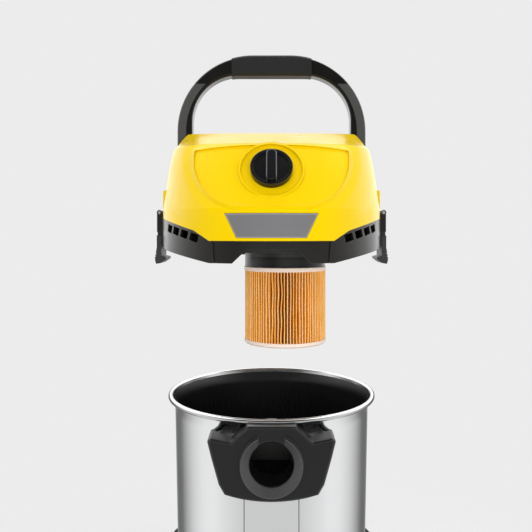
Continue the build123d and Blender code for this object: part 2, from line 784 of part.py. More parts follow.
def panel_face():
    top = SEAT_Z + PANEL_TOP
    flank = SEAT_Z + PANEL_FLANK
    foot = SEAT_Z + BELT_TOP + PANEL_FOOT
    half = KNOB_WELL_R * 2.58
    waist = KNOB_WELL_R * 1.4
    crown = ThreePointArc((-half, top), (0, top + PANEL_CROWN), (half, top))
    right = ThreePointArc((half, top), (half * 0.93, flank), (waist, foot))
    bottom = ThreePointArc((waist, foot), (0, foot - 3), (-waist, foot))
    left = ThreePointArc((-waist, foot), (-half * 0.93, flank), (-half, top))
    return make_face([crown, right, bottom, left])


def badge_face(grow):
    top = BADGE_TOP_W / 2 + grow
    foot = BADGE_BOTTOM_W / 2 + grow
    low = SEAT_Z + BADGE_LOW - grow
    high = SEAT_Z + BADGE_LOW + BADGE_H + grow
    return outline(both_sides([(top, high), (foot, low)]))


def handle_channel(grow):
    """Room for a handle leg, upright and folded back, on the right-hand side."""
    swing = LEG_D / 2 + HANDLE_SET + MOVE_GAP + grow
    floor = SEAT_Z + HANDLE_PIVOT - swing
    top = SEAT_Z + 2 * HANDLE_PIVOT
    outer = HANDLE_HALF + MOVE_GAP + grow * HEAD_R
    inner = HANDLE_HALF - LEG_W - MOVE_GAP - grow
    bend = HANDLE_HALF - 2 * LEG_W - grow
    slot = block(inner, outer, -swing, swing, floor, top)
    rear = LEG_D / 2 + HANDLE_SET + MOVE_GAP - CHANNEL_LAP - grow
    return slot + block(bend, outer, rear, 2 * HEAD_R, floor, top)


def side_ledge(side):
    """The upright pad on the cover's side above a latch."""
    x0, x1 = sorted((side * HEAD_R / 2, side * 2 * HEAD_R))
    low = SEAT_Z + BELT_TOP - COVER_WALL
    pad = disc(HEAD_R, low, SEAT_Z + LEDGE_TOP)
    pad = fillet(pad.faces().sort_by(Axis.Z)[-1].edges(), LEDGE_EDGE)
    return pad & block(x0, x1, -LEDGE_HALF, LEDGE_HALF, low, SEAT_Z + LEDGE_TOP)


def gland_bar(radius, low, high):
    """A round bar through the cover's rear wall, pointing outward."""
    bar = Pos(HEAD_R + low, 0, SEAT_Z + PORT_LEVEL) * Rot(0, 90, 0) * Cylinder(radius, high - low, align=LOW)
    return Rot(0, 0, GLAND_ANGLE) * bar


def cover():
    belt_low = SEAT_Z
    belt_high = SEAT_Z + BELT_TOP
    body = disc(HEAD_R, belt_low, belt_high) + loaf(0)
    for side in (-1, 1):
        body += side_ledge(side)
    body -= front_prism(panel_face(), -2 * HEAD_R, -HEAD_R / 4) - loaf(PANEL_DEPTH)
    body += knob_bar(KNOB_WELL_R + COLLAR_RIM, -2 * COVER_WALL, COLLAR_RISE)

    hollow = disc(HEAD_R - COVER_WALL, belt_low - 1, belt_high) + loaf_room()
    hollow -= knob_bar(KNOB_WELL_R + COLLAR_RIM, -KNOB_WELL - COVER_WALL, 4 * COVER_WALL)
    hollow -= handle_channel(COVER_WALL)
    hollow -= mirror(handle_channel(COVER_WALL), Plane.YZ)
    for post in screw_posts(belt_low - 2, belt_high - 4):
        hollow -= post
    hollow -= tube(MOUNT_R + MOUNT_WALL, MOUNT_R, COVER_INSIDE - MOUNT_GRIP, COVER_INSIDE + 1, FILTER_X)
    body -= hollow
    body -= switch_box(SLIP_FIT)

    for cut in (handle_channel(0), handle_pin()):
        body -= cut
        body -= mirror(cut, Plane.YZ)
    body -= knob_bar(KNOB_WELL_R, -KNOB_WELL, 4 * COVER_WALL)
    body -= knob_bar(KNOB_SHAFT_R + SLIP_FIT, -4 * COVER_WALL, COVER_WALL)
    for bore in post_bores(SCREW_R + RUN_FIT, belt_low - 1, belt_high - 8):
        body -= bore
    body -= parting_under(0)
    plate = front_prism(badge_face(SLIP_FIT), -2 * HEAD_R, -HEAD_R / 4)
    body -= plate & tube(HEAD_R + 5, HEAD_R - BADGE_T + 0.6, belt_low, belt_high)
    body -= bar_y(PORT_R, HEAD_R / 2, 2 * HEAD_R, 0, SEAT_Z + PORT_LEVEL)
    body -= gland_bar(GLAND_R, -30, 10)
    return body


def cover_screws():
    screws = []
    low = DECK_Z
    for angle in SCREW_ANGLES:
        screw = disc(SCREW_R, low, SEAT_Z + BELT_TOP - 10, HEAD_R - SCREW_IN, 0)
        screw += disc(2 * SCREW_R, low - SCREW_HEAD, low, HEAD_R - SCREW_IN, 0)
        screws.append(Rot(0, 0, angle) * screw)
    return Compound(children=screws)


def badge_plate():
    plate = front_prism(badge_face(0), -2 * HEAD_R, -HEAD_R / 4)
    return plate & tube(HEAD_R + 0.6, HEAD_R - BADGE_T + 0.6, SEAT_Z, SEAT_Z + BELT_TOP)


def blower_port():
    y0 = HEAD_R - COVER_WALL - PORT_IN
    y1 = HEAD_R + PORT_REACH
    port = bar_y(PORT_R, y0, y1, 0, SEAT_Z + PORT_LEVEL)
    port -= bar_y(PORT_BORE_R, y0 - 1, y1 + 1, 0, SEAT_Z + PORT_LEVEL)
    lip = bar_y(PORT_R + PORT_LIP, y1 - PORT_LIP_T, y1, 0, SEAT_Z + PORT_LEVEL)
    lip -= bar_y(PORT_BORE_R, y0, y1 + 1, 0, SEAT_Z + PORT_LEVEL)
    return port + lip


def cord_gland():
    gland = gland_bar(GLAND_R, -2 * COVER_WALL, GLAND_OUT)
    gland += gland_bar(GLAND_R + GLAND_FLANGE, 0.6, GLAND_OUT)
    return gland - gland_bar(GLAND_BORE_R, -30, 10)


# Rotary switch: a dished knob with a grip bar on a shaft into the switch body
def switch_knob():
    top = KNOB_FLOOR + KNOB_T
    knob = knob_bar(KNOB_R, KNOB_FLOOR, top)
    knob -= knob_bar(KNOB_R - KNOB_RIM, top - KNOB_DISH, top + 1)
    grip = Box(KNOB_BAR_W, 2 * (KNOB_R - KNOB_RIM) - 1, KNOB_BAR_H, align=LOW)
    grip = fillet(grip.edges().filter_by(Axis.Z), KNOB_BAR_W / 2 - 0.5)
    grip = fillet(grip.faces().sort_by(Axis.Z)[-1].edges(), 2.0)
    knob += knob_plane(top - KNOB_DISH - 0.5) * grip
    return knob - knob_bar(KNOB_SHAFT_R, KNOB_FLOOR - 1, KNOB_FLOOR + KNOB_T / 2)


def switch_box(grow):
    """The switch behind the cover's face, or the room for it."""
    box = Box(SWITCH_W + 2 * grow, SWITCH_H + 2 * grow, SWITCH_DEPTH + grow, align=LOW)
    return knob_plane(SWITCH_BACK - SWITCH_DEPTH - grow) * box


def switch_shaft():
    return knob_bar(KNOB_SHAFT_R, SWITCH_BACK - SHAFT_IN, KNOB_FLOOR + KNOB_T / 2)


def switch_body():
    bore = knob_bar(KNOB_SHAFT_R + RUN_FIT, SWITCH_BACK - SHAFT_IN - 1, SWITCH_BACK + 1)
    return switch_box(0) - bore


# Carrying handle: an arched bow with a soft grip and side trims on two pins
def arch(half, top, bend):
    """An outline with a round-shouldered top on two straight legs, closed at the pivots."""
    foot = SEAT_Z + HANDLE_PIVOT
    crown = SEAT_Z + top
    legs = FilletPolyline((half, foot), (half, crown), (-half, crown), (-half, foot), radius=bend)
    return make_face([legs, Line((-half, foot), (half, foot))])


def handle_face(grow):
    outer = arch(HANDLE_HALF + grow, HANDLE_TOP + grow, HANDLE_BEND + grow)
    return outer - arch(HANDLE_HALF - LEG_W - grow, HANDLE_TOP - GRIP_H - grow, HANDLE_INNER_BEND - grow)


def grip_zone():
    half = GRIP_W / 2
    return block(-half, half, -2 * LEG_D, 2 * LEG_D, SEAT_Z + HANDLE_PIVOT + LEG_D, SEAT_Z + 2 * HANDLE_TOP)


def trim_zone(side):
    """The thin strip let into a leg's outer edge."""
    low = SEAT_Z + HANDLE_PIVOT + LEG_D
    high = SEAT_Z + HANDLE_TOP - GRIP_H - LEG_W
    x0, x1 = sorted((0, side * 2 * HANDLE_HALF))
    near = -HANDLE_SET - TRIM_W / 2
    far = -HANDLE_SET + TRIM_W / 2
    strip = front_prism(arch(HANDLE_HALF, HANDLE_TOP, HANDLE_BEND), near, far)
    core = arch(HANDLE_HALF - TRIM_T, HANDLE_TOP - TRIM_T, HANDLE_BEND - TRIM_T)
    strip -= front_prism(core, near - 1, far + 1)
    return strip & block(x0, x1, near, far, low, high)


def handle_bow():
    near = -HANDLE_SET - LEG_D / 2
    far = -HANDLE_SET + LEG_D / 2
    bow = front_prism(handle_face(0), near, far)
    sides = bow.faces().sort_by(Axis.Y)
    bow = fillet(sides[0].edges() + sides[-1].edges(), HANDLE_ROUND)
    pivot_z = SEAT_Z + HANDLE_PIVOT
    for side in (-1, 1):
        x0, x1 = sorted((side * (HANDLE_HALF - LEG_W), side * HANDLE_HALF))
        bow += bar_x(LEG_D / 2, x0, x1, -HANDLE_SET, pivot_z)
        bow -= bar_x(HANDLE_PIN_R + RUN_FIT, x0 - 1, x1 + 1, 0, pivot_z)
        bow -= trim_zone(side)
    core = front_prism(handle_face(-GRIP_SKIN), near + GRIP_SKIN, far - GRIP_SKIN)
    return bow - grip_zone() + (core & grip_zone())


def handle_grip():
    near = -HANDLE_SET - LEG_D / 2
    far = -HANDLE_SET + LEG_D / 2
    skin = front_prism(handle_face(GRIP_RISE), near - GRIP_SWELL, far + GRIP_SWELL)
    sides = skin.faces().sort_by(Axis.Y)
    skin = fillet(sides[0].edges() + sides[-1].edges(), GRIP_ROUND)
    core = front_prism(handle_face(-GRIP_SKIN), near + GRIP_SKIN, far - GRIP_SKIN)
    return (skin & grip_zone()) - core


def handle_pin():
    """The right-hand pivot pin."""
    inner = HANDLE_HALF - LEG_W - HANDLE_PIN_IN
    return bar_x(HANDLE_PIN_R, inner, HANDLE_HALF + HANDLE_PIN_OUT, 0, SEAT_Z + HANDLE_PIVOT)


def handle_pins():
    return Compound(children=[handle_pin(), mirror(handle_pin(), Plane.YZ)])


# Side latches: each hangs on a pin and hooks under the drum's bead
def latch(side):
    inner = latch_x() - LATCH_T / 2
    outer = latch_x() + LATCH_T / 2
    pivot_z = SEAT_Z + LATCH_PIVOT
    foot = SEAT_Z - LATCH_DROP
    catch = SEAT_Z - 3 * BEAD_R
    profile = outline([
        (inner, pivot_z),
        (outer, pivot_z),
        (outer, SEAT_Z + 4),
        (outer + 3, foot + 7),
        (outer + 1, foot),
        (inner + 1, foot + 1),
        (RIM_R + 2, catch - 3),
        (RIM_R + 2, catch),
        (inner, catch + 2),
    ])
    half = LATCH_FOOT_W / 2
    body = front_prism(profile, -half, half)
    body += bar_y(LATCH_T / 2, -LATCH_W / 2, LATCH_W / 2, latch_x(), pivot_z)
    for end in (-1, 1):
        y0, y1 = sorted((end * LATCH_W / 2, end * LATCH_FOOT_W))
        body -= block(RIM_R, 2 * HEAD_R, y0, y1, SEAT_Z + LATCH_SHOULDER, pivot_z + LATCH_T)
    for step in range(LATCH_RIBS):
        z = foot + 3 + LATCH_RIB_PITCH * step
        body -= bar_y(LATCH_RIB_R, -LATCH_FOOT_W, LATCH_FOOT_W, outer + 3 - 0.8 * max(0, step - 1), z)
    body -= bar_y(LATCH_PIN_R + RUN_FIT, -LATCH_W, LATCH_W, latch_x(), pivot_z)
    return body if side > 0 else mirror(body, Plane.YZ)


def latch_pins():
    reach = LATCH_W / 2 + LUG_GAP + LUG_T
    pins = []
    for side in (-1, 1):
        pins.append(bar_y(LATCH_PIN_R, -reach, reach, side * latch_x(), SEAT_Z + LATCH_PIVOT))
    return Compound(children=pins)


# Cartridge filter: pleated paper between two rings, round an inner mesh core
def pleat_face(grow):
    points = []
    mean_out = FILTER_R - PLEAT_INSET
    mean_in = FILTER_BORE_R + PLEAT_INSET
    for fold in range(2 * FILTER_PLEATS):
        turn = math.pi * fold / FILTER_PLEATS
        r = (mean_out if fold % 2 else mean_in) + grow
        points.append((r * math.cos(turn), r * math.sin(turn)))
    return outline(points)


def filter_pleats():
    low = FILTER_Z - FILTER_H + FILTER_RING
    high = FILTER_Z - FILTER_RING
    paper = pleat_face(0) - pleat_face(-PLEAT_PAPER * 2)
    return extrude(Pos(FILTER_X, 0, low) * paper, high - low)


def filter_top_ring():
    low = FILTER_Z - FILTER_RING
    body = fillet(disc(FILTER_R, low, FILTER_Z, FILTER_X).edges().filter_by(GeomType.CIRCLE), RING_ROUND)
    return body - disc(FILTER_BORE_R - 2, low - 1, FILTER_Z + 1, FILTER_X)


def filter_bottom_cap():
    low = FILTER_Z - FILTER_H
    cap = disc(FILTER_R - 0.5, low, low + FILTER_RING, FILTER_X)
    return chamfer(cap.faces().sort_by(Axis.Z)[0].edges(), CAP_EDGE)


def filter_core():
    low = FILTER_Z - FILTER_H + FILTER_RING
    high = FILTER_Z - FILTER_RING
    outer = FILTER_BORE_R - 0.6
    core = tube(outer, outer - CORE_WALL, low, high, FILTER_X)
    span = (high - low) / CORE_ROWS
    half = CORE_WINDOW / 2
    for row in range(CORE_ROWS):
        z = low + span * (row + 0.5)
        for column in range(CORE_COLUMNS):
            window = block(-2 * outer, 2 * outer, -half, half, z - span * 0.38, z + span * 0.38)
            core -= Pos(FILTER_X, 0, 0) * Rot(0, 0, 180 / CORE_COLUMNS * column) * window
    return core


# Filter basket: a slotted cage under the deck that guides the float
def filter_basket():
    high = DECK_Z
    low = FILTER_Z - BASKET_LEN
    inner = BASKET_R - BASKET_WALL
    cage = tube(BASKET_R, inner, low, high, FILTER_X)
    cage += tube(FILTER_R - 1 - FILTER_SEAT_W - SLIP_FIT, inner, high - BASKET_WALL, high, FILTER_X)
    cage += disc(BASKET_R, low, low + BASKET_WALL, FILTER_X)
    cage += tube(FLOAT_R + MOVE_GAP + 2, FLOAT_R + MOVE_GAP, low, low + FLOAT_H * 0.8, FILTER_X)
    gap_high = FILTER_Z - 3 * BASKET_WALL
    for column in range(4):
        half = BASKET_SLOT / 2
        window = block(-2 * BASKET_R, 2 * BASKET_R, -half, half, low + FLOAT_H, gap_high)
        cage -= Pos(FILTER_X, 0, 0) * Rot(0, 0, 22.5 + 45 * column) * window
    return cage


def float_cup():
    low = FILTER_Z - BASKET_LEN + BASKET_WALL + 0.3
    cup = disc(FLOAT_R, low, low + FLOAT_H, FILTER_X)
    return fillet(cup.faces().sort_by(Axis.Z)[-1].edges(), FLOAT_ROUND)


# Motor: a turbine can on the deck, a wound stator in a frame, and a spinning rotor
def motor_seal():
    return tube(CAN_R, CAN_R - MOTOR_SEAL_W, DECK_TOP, CAN_LOW, FILTER_X)


def turbine_can():
    can = disc(CAN_R, CAN_LOW, CAN_HIGH, FILTER_X)
    can -= disc(CAN_R - CAN_WALL, CAN_LOW + CAN_WALL, CAN_HIGH - CAN_WALL, FILTER_X)
    can -= disc(CAN_EYE_R, CAN_LOW - 1, CAN_LOW + 2 * CAN_WALL, FILTER_X)
    can -= disc(BEARING_R, CAN_HIGH - 2 * CAN_WALL, CAN_HIGH + 1, FILTER_X)
    slot_high = CAN_HIGH - CAN_SLOT_H / 2
    for step in range(CAN_SLOTS):
        slot = block(CAN_R - 4, CAN_R + 4, -CAN_SLOT_W / 2, CAN_SLOT_W / 2, slot_high - CAN_SLOT_H, slot_high)
        can -= Pos(FILTER_X, 0, 0) * Rot(0, 0, 360 / CAN_SLOTS * step) * slot
    return can


def motor_frame():
    rim = STATOR_R + FRAME_WALL
    hub = BEARING_R + BEARING_WALL
    half = FRAME_POST_W / 2
    bridge_low = BRIDGE_Z - BRIDGE_T / 3
    cap_low = BRIDGE_Z + BEARING_T
    frame = tube(rim, BEARING_R, CAN_HIGH, CAN_HIGH + BEARING_WALL, FILTER_X)
    frame += tube(hub, BEARING_R, CAN_HIGH, CAN_HIGH + BEARING_T, FILTER_X)
    frame += tube(rim, STATOR_R, STATOR_LOW, STATOR_HIGH, FILTER_X)
    for step in range(4):
        post = block(STATOR_R + 1, rim, -half, half, CAN_HIGH + BEARING_WALL - 1, BRIDGE_Z)
        post += block(BEARING_R + 2, rim, -half, half, bridge_low, bridge_low + BRIDGE_T)
        frame += Pos(FILTER_X, 0, 0) * Rot(0, 0, 45 + 90 * step) * post
    frame += tube(hub, BEARING_R, bridge_low, cap_low, FILTER_X)
    frame += disc(hub, cap_low, cap_low + MOUNT_WALL, FILTER_X)
    return frame


def stator():
    core = tube(STATOR_R, ROTOR_R + AIR_GAP, STATOR_LOW, STATOR_HIGH, FILTER_X)
    for side in (-1, 1):
        core -= coil(side, SLIP_FIT)
    return core


def coil(side, grow):
    """One field winding, or the slot for it."""
    half = COIL_W / 2 - SLIP_FIT + grow
    near = ROTOR_R + 4 + SLIP_FIT - grow
    far = STATOR_R - 5 - SLIP_FIT + grow
    winding = block(-half, half, near, far, STATOR_LOW - COIL_END, STATOR_HIGH + COIL_END)
    return Pos(FILTER_X, 0, 0) * Rot(0, 0, 90 * side) * winding


def field_coils():
    return Compound(children=[coil(-1, 0), coil(1, 0)])


def motor_bearings():
    bearings = []
    for low in (CAN_HIGH, BRIDGE_Z):
        bearings.append(tube(BEARING_R, SHAFT_R + RUN_FIT, low, low + BEARING_T, FILTER_X))
    return Compound(children=bearings)


def brush_holders():
    holders = []
    low = STATOR_HIGH + COIL_END + 1
    high = BRIDGE_Z - BRIDGE_T / 3
    far = 2 * BEARING_R + 1
    for step in range(2):
        holder = block(COMMUTATOR_R + SLIP_FIT, far, -BRUSH_W / 2, BRUSH_W / 2, low, high)
        holders.append(Pos(FILTER_X, 0, 0) * Rot(0, 0, 45 + 180 * step) * holder)
    return Compound(children=holders)


def top_mount():
    return disc(MOUNT_R - SLIP_FIT, BRIDGE_Z + BEARING_T + MOUNT_WALL, COVER_INSIDE, FILTER_X)


def motor_shaft():
    return disc(SHAFT_R, CAN_LOW + 4, BRIDGE_Z + BEARING_T - 0.5, FILTER_X)


def armature():
    body = tube(ROTOR_R, SHAFT_R, STATOR_LOW + 1, STATOR_HIGH - 1, FILTER_X)
    body += tube(ROTOR_R - 4, SHAFT_R, STATOR_LOW - 3, STATOR_HIGH + 3, FILTER_X)
    return body


def commutator():
    return tube(COMMUTATOR_R, SHAFT_R, STATOR_HIGH + 3, BRIDGE_Z - 3, FILTER_X)


def turbine_wheel():
    radius = CAN_R - CAN_WALL - 5
    low = CAN_LOW + CAN_WALL + 4
    high = CAN_HIGH - CAN_WALL - 6
    wheel = tube(radius, SHAFT_R, high - PLATE_T, high, FILTER_X)
    wheel += tube(radius, CAN_EYE_R, low, low + PLATE_T, FILTER_X)
    wheel += tube(SHAFT_R + 5, SHAFT_R, low, high, FILTER_X)
    for step in range(BLADES):
        sweep_r = radius * 0.62
        blade = CenterArc((0, sweep_r), sweep_r, -60, 55)
        blade = extrude(Pos(0, 0, low + 1) * trace(blade, BLADE_T), high - low - 2)
        blade &= tube(radius - 0.5, SHAFT_R + 4, low, high)
        wheel += Pos(FILTER_X, 0, 0) * Rot(0, 0, 360 / BLADES * step) * blade
    return wheel


def build():
    os.makedirs("parts", exist_ok=True)
    save(drum(), "drum")
    save(castor_base(), "castor_base")
    save(base_rivets(), "base_rivets")
    save(castor_stems(), "castor_stems")
    for name, x, y in castor_places():
        save(castor_fork(x, y), f"castor_fork_{name}")
        save(castor_axle(x, y), f"castor_axle_{name}")
        save(castor_wheel(x, y), f"castor_wheel_{name}")
    save(inlet_housing(), "inlet_housing")
    save(inlet_gasket(), "inlet_gasket")
    save(inlet_deflector(), "inlet_deflector")
    save(inlet_screws(), "inlet_screws")
    save(head_base(), "head_base")
    save(head_seal(), "head_seal")
    save(cover(), "cover")
    save(cover_screws(), "cover_screws")
    save(badge_plate(), "badge_plate")
    save(blower_port(), "blower_port")
    save(cord_gland(), "cord_gland")
    save(switch_knob(), "switch_knob")
    save(switch_shaft(), "switch_shaft")
    save(switch_body(), "switch_body")
    save(handle_bow(), "handle_bow")
    save(handle_grip(), "handle_grip")
    save(handle_pins(), "handle_pins")
    for side, name in ((-1, "left"), (1, "right")):
        save(trim_zone(side), f"handle_trim_{name}")
        save(latch(side), f"latch_{name}")
    save(latch_pins(), "latch_pins")
    save(filter_pleats(), "filter_pleats")
    save(filter_top_ring(), "filter_top_ring")
    save(filter_bottom_cap(), "filter_bottom_cap")
    save(filter_core(), "filter_core")
    save(filter_basket(), "filter_basket")
    save(float_cup(), "float_cup")
    save(motor_seal(), "motor_seal")
    save(turbine_can(), "turbine_can")
    save(motor_frame(), "motor_frame")
    save(stator(), "stator")
    save(field_coils(), "field_coils")
    save(motor_bearings(), "motor_bearings")
    save(brush_holders(), "brush_holders")
    save(top_mount(), "top_mount")
    save(motor_shaft(), "motor_shaft")
    save(armature(), "armature")
    save(commutator(), "commutator")
    save(turbine_wheel(), "turbine_wheel")


build()
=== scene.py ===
from math import pi, radians

import bpy
import numpy as np
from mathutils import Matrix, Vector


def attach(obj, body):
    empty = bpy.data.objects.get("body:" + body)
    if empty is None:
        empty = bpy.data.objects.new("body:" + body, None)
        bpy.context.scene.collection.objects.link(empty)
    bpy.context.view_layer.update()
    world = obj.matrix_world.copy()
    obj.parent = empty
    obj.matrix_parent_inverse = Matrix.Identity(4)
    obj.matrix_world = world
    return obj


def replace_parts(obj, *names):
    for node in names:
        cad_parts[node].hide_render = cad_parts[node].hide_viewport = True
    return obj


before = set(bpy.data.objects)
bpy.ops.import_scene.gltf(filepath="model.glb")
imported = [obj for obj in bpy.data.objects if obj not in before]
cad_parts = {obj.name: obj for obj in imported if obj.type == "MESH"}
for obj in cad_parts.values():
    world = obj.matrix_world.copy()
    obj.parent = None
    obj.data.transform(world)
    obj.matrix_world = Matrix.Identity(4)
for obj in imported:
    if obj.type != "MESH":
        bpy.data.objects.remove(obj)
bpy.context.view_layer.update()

# Studio: a pale floor that fades into an even pale surround, soft lamps, and the camera at the
# photograph's place: level, 0.91 m in front of the drum's axis, with its frame shifted down.
FRAME_PX = 532.0
FOCAL_PX = 619.0
HORIZON_PX = 230.5
AXIS_PX = 271.5
CAMERA_Y = -0.913
CAMERA_Z = 0.599
SENSOR_MM = 36.0
PALE = (0.838, 0.838, 0.838, 1.0)
FLOOR_WHITE = (0.95, 0.95, 0.95, 1.0)
FLOOR_NEAR, FLOOR_FAR = 0.25, 0.65
WASH = 0.42
HEART = (0.0, 0.0, 0.5)
ROUND_STEPS = 96
SHARP_FROM = radians(34)


def node(tree, kind, feeds=None, **settings):
    """Adds a shader node. Feeds maps a socket to its value, or to the output socket that drives it."""
    made = tree.nodes.new("ShaderNode" + kind)
    for key, value in settings.items():
        setattr(made, key, value)
    for key, value in (feeds or {}).items():
        if isinstance(value, bpy.types.NodeSocket):
            tree.links.new(value, made.inputs[key])
        else:
            made.inputs[key].default_value = value
    return made


def mesh_of(name, points, quads):
    """A smooth-shaded mesh: points that coincide become one, and a quad that loses a corner becomes a triangle."""
    key = np.round(np.asarray(points, float) / 1e-6).astype(np.int64)
    _, first, where = np.unique(key, axis=0, return_index=True, return_inverse=True)
    faces = where.reshape(-1)[quads]
    ring = np.concatenate([faces, faces[:, :1]], axis=1)
    same = ring[:, 1:] == ring[:, :-1]
    whole = faces[~same.any(axis=1)].tolist()
    partial = faces[same.sum(axis=1) == 1]
    keep = ~same[same.sum(axis=1) == 1]
    whole += partial[keep].reshape(-1, quads.shape[1] - 1).tolist() if len(partial) else []
    mesh = bpy.data.meshes.new(name)
    mesh.from_pydata(np.asarray(points, float)[first], [], whole)
    mesh.polygons.foreach_set("use_smooth", np.ones(len(mesh.polygons), bool))
    mesh.set_sharp_from_angle(angle=SHARP_FROM)
    return mesh


def skin(name, points):
    """A mesh on a grid of points, rows by columns, whose last column joins the first. Seen from outside, rows go up
    and columns go to the right."""
    rows, columns = points.shape[:2]
    left = np.arange(rows * columns).reshape(rows, columns)
    right = np.roll(left, -1, axis=1)
    quads = np.stack([left[:-1], right[:-1], right[1:], left[1:]], axis=-1).reshape(-1, 4)
    return mesh_of(name, points.reshape(-1, 3), quads)


def shown(name, mesh, *finishes):
    """Puts a mesh into the scene with its materials."""
    piece = bpy.data.objects.new(name, mesh)
    bpy.context.scene.collection.objects.link(piece)
    for finish in finishes:
        mesh.materials.append(finish)
    return piece


def pale_floor():
    """Matt pale grey near the object, and the surround's own tone further off, by distance from the axis."""
    finish = bpy.data.materials.new("pale_floor")
    finish.use_nodes = True
    tree = finish.node_tree
    tree.nodes.clear()
    place = node(tree, "TexCoord")
    away = node(tree, "VectorMath", {0: place.outputs["Object"]}, operation="LENGTH")
    span = {0: away.outputs["Value"], 1: FLOOR_NEAR, 2: FLOOR_FAR}
    fade = node(tree, "MapRange", span, interpolation_type="SMOOTHSTEP")
    matt = node(tree, "BsdfDiffuse", {"Color": FLOOR_WHITE})
    glow = node(tree, "Emission", {"Color": PALE, "Strength": 1.0})
    mixed = node(tree, "MixShader", {0: fade.outputs[0], 1: matt.outputs[0], 2: glow.outputs[0]})
    node(tree, "OutputMaterial", {"Surface": mixed.outputs[0]})
    return finish


def unit_ring():
    """Points of a level circle of radius 1, counted from the back round by the left."""
    turn = np.linspace(-pi, pi, ROUND_STEPS, endpoint=False)
    return np.stack([np.sin(turn), -np.cos(turn), 0 * turn], axis=-1)


reach = np.array([25.0, 8.0, 3.0, 1.5, 0.8, 0.4, 0.0])
shown("floor", skin("floor", reach[:, None, None] * unit_ring()), pale_floor())

surround = bpy.data.worlds.new("surround")
surround.use_nodes = True
bpy.context.scene.world = surround
tree = surround.node_tree
tree.nodes.clear()
path = node(tree, "LightPath")
rays = {0: path.outputs["Is Camera Ray"], 1: path.outputs["Is Glossy Ray"]}
seen = node(tree, "Math", rays, operation="MAXIMUM")
rays = {0: seen.outputs[0], 1: path.outputs["Is Transmission Ray"]}
seen = node(tree, "Math", rays, operation="MAXIMUM")
wash = node(tree, "Background", {"Color": (1.0, 1.0, 1.0, 1.0), "Strength": WASH})
pale = node(tree, "Background", {"Color": PALE, "Strength": 1.0})
both = node(tree, "MixShader", {0: seen.outputs[0], 1: wash.outputs[0], 2: pale.outputs[0]})
node(tree, "OutputWorld", {"Surface": both.outputs[0]})


def lamp(name, place, aim, power, wide, high):
    """A soft rectangular lamp that faces a point."""
    data = bpy.data.lights.new(name, "AREA")
    data.energy = power
    data.shape = "RECTANGLE"
    data.size = wide
    data.size_y = high
    made = bpy.data.objects.new(name, data)
    made.location = place
    way = Vector(aim) - Vector(place)
    made.rotation_euler = way.to_track_quat("-Z", "Y").to_euler()
    bpy.context.scene.collection.objects.link(made)


def reflector(name, radius, low, high, tones):
    """A tall card bent right round the axis and seen only in reflections. Its tone follows the angle away from the
    front, from 0 to 180 degrees, through pairs of angle and tone."""
    card = bpy.data.materials.new(name)
    card.use_nodes = True
    tree = card.node_tree
    tree.nodes.clear()
    place = node(tree, "SeparateXYZ", {0: node(tree, "TexCoord").outputs["Object"]})
    front = node(tree, "Math", {0: place.outputs["Y"], 1: -1.0}, operation="MULTIPLY")
    away = node(tree, "Math", {0: place.outputs["X"], 1: front.outputs[0]}, operation="ARCTAN2")
    away = node(tree, "Math", {0: away.outputs[0]}, operation="ABSOLUTE")
    share = node(tree, "MapRange", {0: away.outputs[0], 1: 0.0, 2: pi})
    ramp = node(tree, "ValToRGB", {0: share.outputs[0]})
    while len(ramp.color_ramp.elements) < len(tones):
        ramp.color_ramp.elements.new(1.0)
    for stop, (angle, tone) in zip(ramp.color_ramp.elements, tones):
        stop.position = angle / 180.0
        stop.color = (tone, tone, tone, 1.0)
    glow = node(tree, "Emission", {"Color": ramp.outputs[0], "Strength": 1.0})
    node(tree, "OutputMaterial", {"Surface": glow.outputs[0]})
    ends = np.array([[[0, 0, low]], [[0, 0, high]]])
    made = shown(name, skin(name, radius * unit_ring() + ends), card)
    made.visible_camera = False
    made.visible_diffuse = False
    made.visible_transmission = False
    made.visible_shadow = False


DRUM_TONES = [
    (0, 0.8), (24, 0.8), (42, 0.95), (58, 1.1), (72, 1.05), (86, 0.84),
    (100, 0.5), (112, 0.2), (128, 0.16), (146, 0.45), (180, 0.7),
]
HEAD_TONES = [(0, 0.05), (36, 0.05), (62, 0.8), (85, 1.7), (105, 2.2), (140, 2.2), (180, 1.7)]
CROWN_TONES = [(0, 0.05), (48, 0.05), (75, 4.0), (130, 4.0), (155, 1.2), (180, 1.2)]
reflector("low_reflector", radius=0.37, low=0.0, high=0.42, tones=DRUM_TONES)
reflector("high_reflector", radius=1.25, low=0.47, high=1.7, tones=HEAD_TONES)
reflector("crown_reflector", radius=1.25, low=1.7, high=3.4, tones=CROWN_TONES)
lamp("key_lamp", (-1.1, -1.9, 1.7), aim=HEART, power=9.0, wide=1.2, high=1.6)
lamp("front_lamp", (0.3, -2.1, 0.62), aim=HEART, power=19.0, wide=2.4, high=1.1)
lamp("fill_lamp", (1.6, -1.5, 1.1), aim=HEART, power=6.0, wide=0.9, high=1.6)
lamp("top_lamp", (0.0, 0.3, 2.3), aim=(0.0, 0.0, 0.6), power=15.0, wide=1.4, high=1.4)
lamp("back_lamp", (0.6, 1.9, 1.6), aim=HEART, power=12.0, wide=1.4, high=1.2)

camera = bpy.data.objects.new("camera", bpy.data.cameras.new("camera"))
camera.location = (0.0, CAMERA_Y, CAMERA_Z)
camera.rotation_euler = (radians(90), 0.0, 0.0)
camera.data.sensor_width = SENSOR_MM
camera.data.lens = SENSOR_MM * FOCAL_PX / FRAME_PX
camera.data.shift_x = -(AXIS_PX - FRAME_PX / 2) / FRAME_PX
camera.data.shift_y = (HORIZON_PX - FRAME_PX / 2) / FRAME_PX
camera.data.clip_end = 100.0
bpy.context.scene.collection.objects.link(camera)
bpy.context.scene.camera = camera
bpy.context.scene.view_settings.view_transform = "Standard"

